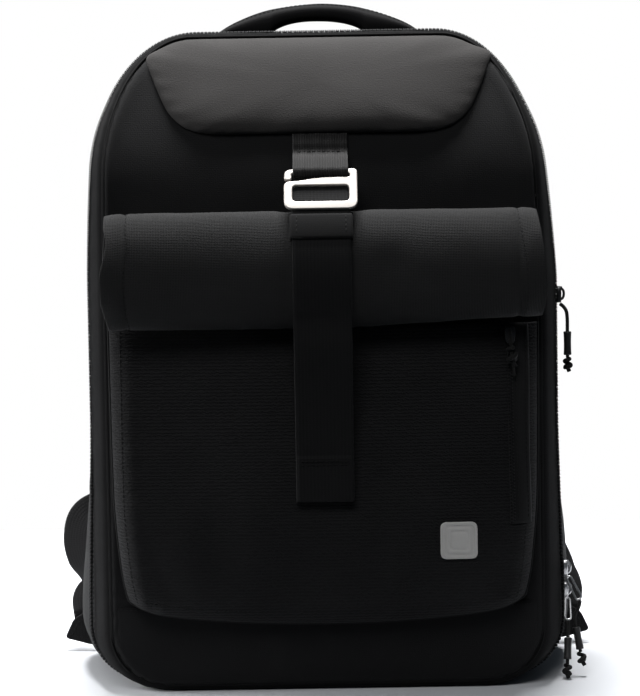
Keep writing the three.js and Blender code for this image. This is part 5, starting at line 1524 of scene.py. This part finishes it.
def anchor_loop():
    bar = on_hook((HOOK_TOP_BAR_LOW + HOOK_HEIGHT) / 2, 0)
    corner = math.hypot((HOOK_HEIGHT - HOOK_TOP_BAR_LOW) / 2, HOOK_THICK / 2)
    radius = corner + GAP + LOOP_THICK / 2
    tab = [TAB_TOP, (TAB_TOP + TAB_SEAM) / 2, TAB_SEAM]

    def layer(z, count):
        off = SEAT + LOOP_THICK / 2 + count * (LOOP_THICK + GAP)
        return np.array([float(front_face(0, z)) - off, z])

    behind = [layer(z, 0) for z in tab]
    front = [layer(z, 1) for z in reversed(tab)]
    bulge = (bar + front[0]) / 2 + np.array([-2.4, 2.6])
    points = behind + around_bar(bar, radius, 306, 126, 9) + [bulge] + front
    path = spline(as3(points), 1.0)
    s = along_path(path)
    section = flat_section(LOOP_WIDTH, LOOP_THICK, 26)

    def flute(grid, wide, through):
        ribs = 0.22 * np.sin(grid[..., 0] * 2 * math.pi / 1.75)
        return through[:, None] * ribs[..., None]

    obj = sweep("hook_loop_webbing", path, (1, 0, 0), section, lift=flute)
    dress(obj, LOOP, "webbing", "buckle_anchor_loop")
    y, z = layer(TAB_SEAM, 1)
    line = np.array([(x, y - LOOP_THICK / 2, z + 0.6) for x in np.linspace(-17.5, 17.5, 12)])
    stitch(line, (0, -1, 0.2), "webbing", radius=0.36)
    fold = [(x, y - LOOP_THICK / 2 - 0.1, z - 0.9) for x in np.linspace(-LOOP_WIDTH / 2, LOOP_WIDTH / 2, 12)]
    dress(tube("hook_loop_fold", fold, 0.55, 8), LOOP, "webbing")


anchor_loop()


def roll_tab(side, node_name):
    points = []
    for down, out in ((8, -4), (28, -2), (52, 0)):
        x, z = side * (ROLL_WIDTH / 2 + out), ROLL_TOP - down
        points.append((x, float(front_face(x, z)) - SEAT - 0.8, z))
    path = spline(points, 2.0)
    obj = sweep("roll_tab_" + ("left" if side < 0 else "right") + "_webbing", path, (1, 0, 0),
                flat_section(9, 1.6, 6))
    dress(obj, WEB, "webbing", node_name)
    stitch(path + (side * 2.5, -0.8, 0), (0, -1, 0), "webbing")


roll_tab(-1, "roll_tab_left")
roll_tab(1, "roll_tab_right")

# Pouch zip

POUCH_ZIP_WIDTH, POUCH_ZIP_LENGTH, POUCH_ZIP_THICK = 15.5, 139.0, 1.2
POUCH_ZIP_TOP, POUCH_ZIP_ACROSS, POUCH_CHAIN = POUCH_TOP - 1, 136.8, 4.0


def pouch_surface(x, z):
    """y of the pouch's own front, folds and all."""
    flat = pouch_grid.reshape(-1, 3)
    out = []
    for a, b in zip(np.atleast_1d(x), np.atleast_1d(z)):
        near = flat[np.argsort((flat[:, 0] - a) ** 2 + (flat[:, 2] - b) ** 2)[:4]]
        w = 1 / (1e-3 + np.hypot(near[:, 0] - a, near[:, 2] - b))
        out.append(np.sum(near[:, 1] * w) / np.sum(w))
    return np.array(out)


def pouch_zip():
    w = POUCH_ZIP_WIDTH / 2
    offsets = np.array([-w, -w + 0.6, -w + 1.2, -w + 2.0, -w + 3.0, -w + 4.2, -2, 0, 2, 4, w - 2.6, w - 1.6, w - 0.8, w])
    rises = np.array([0.1, 0.9, 1.15, 1.2, 1.1, 0.75, 0.8, 0.9, 0.9, 0.85, 0.9, 1.35, 1.2, 0.1])
    z = POUCH_ZIP_TOP - POUCH_ZIP_LENGTH * np.linspace(0, 1, 60)
    grid = np.zeros((len(z), len(offsets), 3))
    for c, (dx, rise) in enumerate(zip(offsets, rises)):
        x = np.full(len(z), POUCH_ZIP_ACROSS + dx)
        wobble = 0.35 * np.sin(z / 17.0 + 0.4) * (1 if c > 3 else 0.4)
        grid[:, c] = np.stack([x + wobble, pouch_surface(x, z) - 0.35 - rise, z], axis=1)
    grid[:, :, 1] = relax_rows(grid[:, :, 1], 4)
    uv = np.stack([grid[..., 0], grid[..., 2]], axis=2)
    obj = grid_mesh("front_zip_panel", grid, uv)
    orient(obj, grid, np.broadcast_to((0.0, -1.0, 0.0), grid.shape))
    thicken(obj, 0.9)
    dress(obj, TAPE, "zip_tape", "front_zip")
    mid = grid[:, 3]
    n = outward(grid, False, (0, 0, 190))[:, 3]
    fine = spline(mid, 1.2)
    s, f = along_path(mid), along_path(fine)
    out = np.stack([np.interp(f, s, n[:, k]) for k in range(3)], axis=1)
    across = unit(np.cross(unit(np.gradient(fine, axis=0)), out))
    teeth("front_zip_coils", fine, out, across, 1.15, (0.8, 1.9, 1.0), 0.7, COIL, "zip_tape")
    stitch(grid[1:-1, 6], n[1:-1], "body")
    stitch(grid[1:-1, 10], n[1:-1], "body")


def relax_rows(values, rounds):
    v = values.copy()
    for _ in range(rounds):
        v[1:-1] = 0.5 * v[1:-1] + 0.25 * (v[2:] + v[:-2])
    return v


pouch_zip()

# Patch: a plain moulded square with raised squares inside its rim

PATCH_SIDE, PATCH_ACROSS, PATCH_UP = 26.0, 92.8, 111.5


def patch():
    profile = [(13, 0, 3.4), (13, 1.3, 3.4), (12.8, 1.7, 3.3), (12.3, 2.0, 3.0), (11.0, 2.0, 2.6), (10.7, 1.85, 2.5),
               (10.5, 1.5, 2.4), (9.2, 1.45, 2.2), (9.0, 1.6, 2.1), (8.7, 1.85, 2.0), (7.2, 1.85, 1.7),
               (6.9, 1.7, 1.6), (6.7, 1.5, 1.6), (5.6, 1.45, 1.4), (5.4, 1.6, 1.4), (5.1, 1.75, 1.3), (1.0, 1.78, 0.3)]
    rings = []
    for half, rise, radius in profile:
        loop = rounded(box2(2 * half, 2 * half), radius * 1.4, 8)
        rings.append(np.array([(x, y, rise) for x, y in loop]))
    grid = np.array(rings)
    x, z = PATCH_ACROSS, PATCH_UP
    y = float(pouch_surface(x, z)[0])
    reach = 9.0
    slope_x = float(pouch_surface(x + reach, z)[0] - pouch_surface(x - reach, z)[0]) / (2 * reach)
    slope_z = float(pouch_surface(x, z + reach)[0] - pouch_surface(x, z - reach)[0]) / (2 * reach)
    out = unit(np.array((slope_x, -1.0, slope_z)))
    place = turned_to((x, y - 0.1, z), out)
    turn = np.array(place.to_3x3())
    placed = grid @ turn.T + np.array(place.translation) / MM
    uv = grid[..., :2].copy()
    obj = face_out(grid_mesh("moulded_patch", placed, uv, wrap=True, cap=True))
    add_edge_split(obj, 40)
    dress(obj, RUBBER, "patch_rubber", "patch")


patch()

# Carry handle

HANDLE_SPAN, HANDLE_RISE, HANDLE_GAP_SPAN = 154.0, 23.4, 70.0
HANDLE_GAP_RISE, HANDLE_WIDTH, HANDLE_BACK = 10.9, 34.0, 48.0


def handle():
    xs = np.sin(np.linspace(-math.pi / 2, math.pi / 2, 90)) * HANDLE_SPAN / 2
    share = xs / (HANDLE_SPAN / 2)
    top = HANDLE_RISE * np.maximum(0, 1 - share ** 2) ** 0.8
    gap = HANDLE_GAP_RISE * np.sqrt(np.maximum(0, 1 - (xs / (HANDLE_GAP_SPAN / 2)) ** 2))
    low = np.where(np.abs(xs) < HANDLE_GAP_SPAN / 2, gap, 0.0)
    top = np.maximum(top, 1.8)
    angles = np.linspace(0, 2 * math.pi, 36, endpoint=False)
    cy = np.sign(np.cos(angles)) * np.abs(np.cos(angles)) ** 0.55
    cz = np.sign(np.sin(angles)) * np.abs(np.sin(angles)) ** 0.7
    grid = np.zeros((len(xs), len(angles), 3))
    for i, x in enumerate(xs):
        mid, half = (top[i] + low[i]) / 2, (top[i] - low[i]) / 2
        width = HANDLE_WIDTH / 2 * (0.93 + 0.07 * bell(x, 0, 45))
        grid[i] = np.stack([np.full(len(angles), x), HANDLE_BACK + width * cy,
                            BAG_HEIGHT + GAP + mid + half * cz], axis=1)
    lift = 0.5 * noise3(grid, 22.0, 51) - 0.5 * bell(np.abs(grid[..., 1] - HANDLE_BACK), 13.2, 1.2)
    n = outward(grid, True, (0, HANDLE_BACK, BAG_HEIGHT + 6))
    grid = grid + n * lift[..., None]
    s = along_path(grid[:, 9])
    uv = np.zeros(grid.shape[:2] + (2,))
    uv[..., 0] = (angles * 11)[None]
    uv[..., 1] = s[:, None]
    obj = face_out(grid_mesh("padded_handle", grid, uv, wrap=True, cap=True))
    dress(obj, GRIP, "webbing", "carry_handle", fill=0.7)
    for y in (-12.5, 12.5):
        z = BAG_HEIGHT + GAP + top + 0.1 - 0.9
        stitch(np.stack([xs, np.full(len(xs), HANDLE_BACK + y), z], axis=1)[4:-4], (0, 0, 1), "webbing")


handle()

# Back pads and shoulder straps

BACK_PAD_HEIGHT, BACK_PAD_WIDTH, BACK_PAD_BULGE = 330.0, 106.0, 8.0
PAD_BASE, PAD_GAP = 62.0, 15.0
SHOULDER_WIDTH, SHOULDER_THICK, SHOULDER_REACH = 68.0, 12.0, 34.0
WEBBING_WIDTH, WEBBING_THICK, WEBBING_STEP = 25.0, 1.6, 3.8
ADJUSTER_WIDTH, ADJUSTER_HEIGHT, ADJUSTER_THICK, WING_THICK = 34.0, 26.0, 3.5, 3.0
SHOULDER_ROUTE = [(0.36, 0, 0.935, 1), (0.37, 0.02, 0.88, 1), (0.39, 0.36, 0.81, 1), (0.43, 0.8, 0.72, 0.98),
                  (0.47, 1, 0.62, 0.95), (0.53, 0.92, 0.51, 0.92), (0.61, 0.62, 0.41, 0.86),
                  (0.7, 0.34, 0.33, 0.72), (0.745, 0.24, 0.295, 0.5)]
WEBBING_ROUTE = {
    "left": [(0.93, 0.4, 0.24, 0.1, 0.1, 1), (1.04, 0.42, 0.232, 0.3, 0.2, 1), (1.1, 0.4, 0.214, 0.8, 0.4, 0.7),
             (1.12, 0.38, 0.18, 1, 0.5, 0.25), (1.105, 0.36, 0.148, 1, 0.6, 0), (1.06, 0.32, 0.115, 0.8, 0.9, 0),
             (1.08, 0.24, 0.088, 1, 0.5, 0), (1.07, 0.18, 0.068, 1, 0, 0), (1.06, 0.165, 0.04, 1, 0, 0)],
    "right": [(0.9, 0.42, 0.208, 0.5, 0.1, 0.9), (0.97, 0.42, 0.18, 0.6, 0.3, 0.7), (1.04, 0.4, 0.15, 0.6, 0.7, 0.4),
              (1.085, 0.36, 0.12, 0.6, 0.9, 0), (1.09, 0.26, 0.092, 1, 0.5, 0), (1.07, 0.18, 0.068, 1, 0, 0),
              (1.06, 0.165, 0.04, 1, 0, 0)],
}
WING_CORNERS = [(0.8, 0.012), (1.06, 0.01), (1.18, 0.022), (1.14, 0.053), (1.0, 0.085), (0.8, 0.13)]


def back_face(x, z):
    return BACK_Y + 0 * np.asarray(x, float)


def back_pad(name, side):
    middle = side * (PAD_GAP / 2 + BACK_PAD_WIDTH / 2)
    corners = box2(BACK_PAD_WIDTH, BACK_PAD_HEIGHT, middle, PAD_BASE + BACK_PAD_HEIGHT / 2)
    edge = even(np.array(rounded(corners, 22, 10)), 200)
    crown = [(1, 0.0), (0.995, 0.2), (0.985, 0.42), (0.965, 0.62), (0.93, 0.8), (0.87, 0.92), (0.78, 1), (0.66, 0.98),
             (0.5, 0.94), (0.34, 0.94), (0.18, 0.96), (0.05, 0.96)]
    obj, grid = pillow("back_pad_" + name + "_mesh", edge, back_face, 1, BACK_PAD_BULGE, 0.6, 60 + side, crown)
    dress(obj, MESH, "spacer_mesh", "back_pad_" + name, fill=0.7)
    pipe = np.stack([edge[:, 0], np.full(len(edge), BACK_Y + 1.2), edge[:, 1]], axis=1)
    dress(tube("back_pad_" + name + "_binding", pipe, 1.3, 8, closed=True), BINDING, "spacer_mesh")


def shoulder_stops(side):
    rows = np.array(SHOULDER_ROUTE)
    points = np.stack([side * rows[:, 0] * BAG_WIDTH / 2,
                       BACK_Y + SEAT + SHOULDER_THICK / 2 + rows[:, 1] * SHOULDER_REACH,
                       rows[:, 2] * BAG_HEIGHT], axis=1)
    return points, rows[:, 3] * SHOULDER_WIDTH


def past_strap(side, distance):
    points, _ = shoulder_stops(side)
    return points[-1] + unit(points[-1] - points[-2]) * distance


def soft_section():
    angles = np.linspace(0, 2 * math.pi, 40, endpoint=False)
    w = np.sign(np.cos(angles)) * np.abs(np.cos(angles)) ** 0.35
    t = np.sign(np.sin(angles)) * np.abs(np.sin(angles)) ** 0.6
    return np.stack([w, t], axis=1)


def shoulder_strap(name, side):
    points, widths = shoulder_stops(side)
    path = spline(points, 4.0)
    s, f = along_path(points), along_path(path)
    width = np.interp(f, s, widths) / 2
    section = soft_section()
    ends = np.minimum(f, f[-1] - f)
    thick = SHOULDER_THICK / 2 * (0.45 + 0.55 * step(ends, 0, 14))

    def quilt(grid, wide, through):
        side_in = np.abs(section[None, :, 0])
        groove = -1.2 * bell(side_in * width[:, None], width[:, None] - 7.0, 1.6)
        lift = groove + 0.5 * noise3(grid, 30.0, 71 + side)
        return through[:, None] * (lift * np.sign(section[None, :, 1]))[..., None]

    obj = sweep("shoulder_pad_" + name, path, (side, 0, 0), section, widths=width, thicks=thick, lift=quilt)
    dress(obj, MESH, "spacer_mesh", "shoulder_strap_" + name, fill=0.6)
    along = unit(np.gradient(path, axis=0))
    through = unit(np.cross(along, np.array((side, 0, 0.0))))
    wide = unit(np.cross(through, along))
    for edge_side in (-1, 1):
        line = path + wide * (edge_side * (width[:, None] - 0.3))
        dress(tube(f"shoulder_binding_{name}_{'inner' if edge_side < 0 else 'outer'}", line, 2.1, 10),
              BINDING, "spacer_mesh")
        for face in (-1, 1):
            run = path + wide * (edge_side * (width[:, None] - 7.0)) + through * (face * (thick[:, None] - 1.0))
            stitch(run[4:-4], through[4:-4] * face, "back")
    return path, width


def threaded(name, side):
    """Webbing from the padded strap's end, round the adjuster's upper bar."""
    start, holder = past_strap(side, -14.0), past_strap(side, ADJUSTER_HEIGHT * 0.22 + 2 * GAP)
    lift = np.array((0, 2.6, 0))
    path = spline([start + lift * 1.6, past_strap(side, -4) + lift * 1.3, past_strap(side, 2) + lift, holder + lift * 0.6,
                   holder + np.array((0, -0.4, 0)), holder - lift * 0.9, past_strap(side, 1.0) - lift * 1.1], 1.2)
    across = unit(np.cross(past_strap(side, 1) - past_strap(side, 0), (0, 1.0, 0)))
    obj = sweep("adjuster_loop_" + name, path, across, flat_section(WEBBING_WIDTH - 1, 1.3, 8))
    dress(obj, WEB, "webbing")


def lower_webbing(name, side):
    start = past_strap(side, ADJUSTER_HEIGHT + WEBBING_STEP)
    rows = np.array(WEBBING_ROUTE[name])
    points = np.stack([side * rows[:, 0] * BAG_WIDTH / 2, BACK_Y + rows[:, 1] * SHOULDER_REACH,
                       rows[:, 2] * BAG_HEIGHT], axis=1)
    wide = np.stack([side * rows[:, 3], rows[:, 4], rows[:, 5]], axis=1)
    points = np.vstack([start, points])
    wide = unit(np.vstack([(side, 0, 0.45), wide]))
    path = spline(points, 2.0)
    s, f = along_path(points), along_path(path)
    across = unit(np.stack([np.interp(f, s, wide[:, k]) for k in range(3)], axis=1))
    obj = sweep("lower_webbing_" + name, path, across, flat_section(WEBBING_WIDTH, WEBBING_THICK, 10))
    dress(obj, WEB, "webbing", "strap_webbing_" + name)


def wing(name, side):
    corners = [(side * a * BAG_WIDTH / 2, up * BAG_HEIGHT) for a, up in WING_CORNERS]
    if side < 0:
        corners = corners[::-1]
    loop = rounded(corners, 3.5, 6)
    place = Matrix.Translation(Vector((0, BACK_Y + SEAT + WING_THICK / 2, 0)) * MM) @ Matrix.Rotation(math.pi / 2, 4, "X")
    obj = plate("anchor_wing_" + name + "_cloth", [inward(loop, 0.9)], WING_THICK, 0.9, place, 3)
    dress(obj, WEB, "webbing", "anchor_wing_" + name)
    ring = inward(loop, 4.0)
    ring = np.vstack([ring, ring[:1]])
    for y, out in ((BACK_Y + SEAT + WING_THICK, 1), (BACK_Y + SEAT, -1)):
        path = np.stack([ring[:, 0], np.full(len(ring), y), ring[:, 1]], axis=1)
        stitch(path, (0, out, 0), "back")


def adjuster(name, side):
    centre = past_strap(side, ADJUSTER_HEIGHT / 2 + 2 * GAP)
    points, _ = shoulder_stops(side)
    up = points[-1] - centre
    shape = inward(rounded(box2(ADJUSTER_WIDTH, ADJUSTER_HEIGHT), 6, 8), 0.8)
    holes = [inward(rounded(box2(WEBBING_WIDTH + 1, 5, 0, k * ADJUSTER_HEIGHT * 0.22), 2, 5), -0.6) for k in (-1, 1)]
    place = turned_to(tuple(centre), (0, 1, 0), tuple(up))
    obj = plate("strap_adjuster_" + name + "_plastic", [shape] + holes, ADJUSTER_THICK, 0.8, place, 3)
    dress(obj, PLASTIC, "black_plastic", "strap_adjuster_" + name)


for side_name, side_sign in (("left", -1), ("right", 1)):
    back_pad(side_name, side_sign)
    shoulder_strap(side_name, side_sign)
    threaded(side_name, side_sign)
    lower_webbing(side_name, side_sign)
    wing(side_name, side_sign)
    adjuster(side_name, side_sign)

# Sliders, pullers and the front pull

SLIDER_LENGTH, SLIDER_WIDTH, SLIDER_THICK = 12.0, 8.0, 3.2
CHAIN_Y = FRONT_Y + ZIP_FROM_FRONT


def slider(name, node_name, centre, out, up, material):
    """A zip slider: a tapered body, a raised rim and a bridge that holds the pull."""
    w, l = SLIDER_WIDTH / 2, SLIDER_LENGTH / 2
    corners = [(-w * 0.7, -l), (w * 0.7, -l), (w, l * 0.2), (w * 0.8, l), (-w * 0.8, l), (-w, l * 0.2)]
    place = turned_to(tuple(centre), tuple(out), up)
    body = plate(name, [inward(rounded(corners, 2.2, 6), 0.6)], SLIDER_THICK, 0.6, place, 3)
    rows = np.array(place.to_3x3())
    origin = np.array(place.translation) / MM
    local = [(0, -l * 0.62, 1.0), (0, -l * 0.5, 2.6), (0, -l * 0.15, 3.5), (0, l * 0.3, 3.5), (0, l * 0.6, 2.6), (0, l * 0.68, 1.0)]
    path = spline(np.array(local) @ rows.T + origin, 0.6)
    bridge = tube(name + "_bridge", path, 0.95, 10)
    nose = tube(name + "_nose", spline(np.array([(-w * 0.55, l * 0.72, 1.5), (0, l * 0.86, 1.9), (w * 0.55, l * 0.72, 1.5)]) @ rows.T + origin, 0.6), 0.7, 8)
    obj = join(name, [body, bridge, nose])
    add_edge_split(obj, 45)
    dress(obj, material, "slider_metal", node_name)


for slider_name, slider_material in (("upper", DARK_STEEL), ("lower_a", STEEL), ("lower_b", STEEL)):
    low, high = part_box("zip_slider_" + slider_name)
    spot = np.array(((low.x / MM + SLIDER_THICK / 2), (low.y + high.y) / 2 / MM, (low.z + high.z) / 2 / MM))
    slider("slider_" + slider_name, "zip_slider_" + slider_name, spot, (1, 0, 0), (0, 0, 1), slider_material)


def pull_ring(name, top, foot, node_name):
    """A wire loop that hangs from a slider."""
    top, foot = np.asarray(top, float), np.asarray(foot, float)
    along = unit(top - foot)
    out = unit(np.array((0, -1.0, 0)) + along * along[1])
    side = np.cross(along, out)
    length = np.linalg.norm(top - foot)
    loop = rounded(box2(4.4, length - 1.6), 2.2, 8)
    path = np.array([(top + foot) / 2 + side * x * (0.8 + 0.2 * (y < 0)) + along * y for x, y in loop])
    keep = np.concatenate([[True], np.linalg.norm(np.diff(path, axis=0), axis=1) > 0.05])
    obj = tube(name, path[keep], 0.8, 10, closed=True)
    dress(obj, STEEL, "slider_metal", node_name)


pull_ring("puller_lower_a", (175.6, -40, 72.8), (184, -44, 55.5), "zip_puller_lower_a")
pull_ring("puller_lower_b", (175.4, -40, 57.3), (175, -47, 41), "zip_puller_lower_b")


def front_pull():
    """The pouch zip's slider with its short knotted cord."""
    across, up = 131.05, 254.0
    y = float(pouch_surface(across, up)[0]) - 4.6
    slider("slider_front", "zip_slider_front", (across, y, up), (0.05, -1, 0.06), (0, 0, 1), DARK_STEEL)
    top = np.array((across, y - 4.2, up + 3.0))
    points = [top, top + (0.2, -0.6, -4), top + (0.4, -1.2, -9), top + (0.8, -1.6, -14), top + (1.3, -1.4, -20),
              top + (1.9, -0.6, -26), top + (2.3, 0.2, -31.5)]
    path = spline(points, 0.8)
    obj = dress(tube("cord_front", path, 1.1), CORD, "cord_cloth", "pull_cord_front")
    tied = tube("knot_front", knot_path(top + (0.5, -1.3, -11.0), np.array((0.08, 0.0, -1.0)), reach=2.9, length=11.0,
                                        turns=2.6, seed=0.7), 1.5, 10)
    dress(tied, CORD, "cord_cloth")


front_pull()

# Stitching along the seams of the body

def seam_stitches():
    edge = body_ring(5.0 / BAG_DEPTH)
    n = unit(edge - np.array((0, 0, 235.0)) * 1.0)
    index = np.arange(CORNER_STEPS // 2, RING_COUNT - (LEVEL_STEPS - 1) - CORNER_STEPS // 2)
    out = n[index] * (1, 0, 1)
    stitch(edge[index] + unit(out) * 0.7, out, pitch=3.8, length=2.7)
    for depth in (36.6, 55.4):
        ring = body_ring(depth / BAG_DEPTH)[index]
        away = unit((ring - np.array((0, 0, 235.0))) * (1, 0, 1))
        stitch(ring + away * 0.8, away, pitch=3.8, length=2.7)


seam_stitches()
sew("stitching_body", stitch_runs["body"], THREAD, "body_cloth")
sew("stitching_webbing", stitch_runs["webbing"], THREAD, "webbing")
sew("stitching_back", stitch_runs["back"], THREAD, "spacer_mesh")

# Floor, light and view

def make_floor():
    wide, front, back = 1.1, -0.2, 0.75
    corners = [(-wide, front, 0), (wide, front, 0), (wide, back, 0), (-wide, back, 0)]
    mesh = bpy.data.meshes.new("floor")
    mesh.from_pydata(corners, [], [(0, 1, 2, 3)])
    floor = bpy.data.objects.new("floor", mesh)
    bpy.context.scene.collection.objects.link(floor)
    mat, tree, shader = new_material("pale_floor", (0.61, 0.62, 0.645), 0.6, specular=0.1)
    grain = node(tree, "ShaderNodeTexNoise", Scale=6.0, Detail=3.0)
    tint(tree, shader, grain.outputs["Fac"], (0.6, 0.61, 0.635), (0.62, 0.635, 0.66))
    mesh.materials.append(mat)
    floor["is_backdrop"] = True


def area(name, place, target, size, power, color=(1, 1, 1)):
    data = bpy.data.lights.new(name, "AREA")
    data.shape = "RECTANGLE"
    data.size, data.size_y = size
    data.energy = power
    data.color = color
    lamp = bpy.data.objects.new(name, data)
    lamp.location = place
    lamp.rotation_euler = (Vector(target) - Vector(place)).to_track_quat("-Z", "Y").to_euler()
    bpy.context.scene.collection.objects.link(lamp)


def make_light():
    world = bpy.data.worlds.new("studio")
    bpy.context.scene.world = world
    world.use_nodes = True
    tree = world.node_tree
    tree.nodes.clear()
    out = tree.nodes.new("ShaderNodeOutputWorld")
    mixer = tree.nodes.new("ShaderNodeMixShader")
    seen = tree.nodes.new("ShaderNodeBackground")
    lit = tree.nodes.new("ShaderNodeBackground")
    ray = tree.nodes.new("ShaderNodeLightPath")
    seen.inputs["Color"].default_value = (1, 1, 1, 1)
    seen.inputs["Strength"].default_value = 1.0
    lit.inputs["Color"].default_value = (0.72, 0.86, 1, 1)
    lit.inputs["Strength"].default_value = 0.06
    tree.links.new(ray.outputs["Is Camera Ray"], mixer.inputs["Fac"])
    tree.links.new(lit.outputs[0], mixer.inputs[1])
    tree.links.new(seen.outputs[0], mixer.inputs[2])
    tree.links.new(mixer.outputs[0], out.inputs["Surface"])
    area("overhead", (-0.03, 0.15, 1.9), (0, 0.0, 0.3), (0.75, 0.6), 100.0)
    area("left_side", (-1.9, 0.1, 0.7), (0, 0, 0.25), (0.6, 1.0), 40.0)
    area("front_fill", (-0.35, -2.1, 2.1), (0, 0, 0.3), (1.4, 1.0), 33.0)


make_floor()
make_light()
scene = bpy.context.scene
scene.view_settings.view_transform = "Standard"
scene.view_settings.look = "None"

# Size: the visual model's box

low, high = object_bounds()
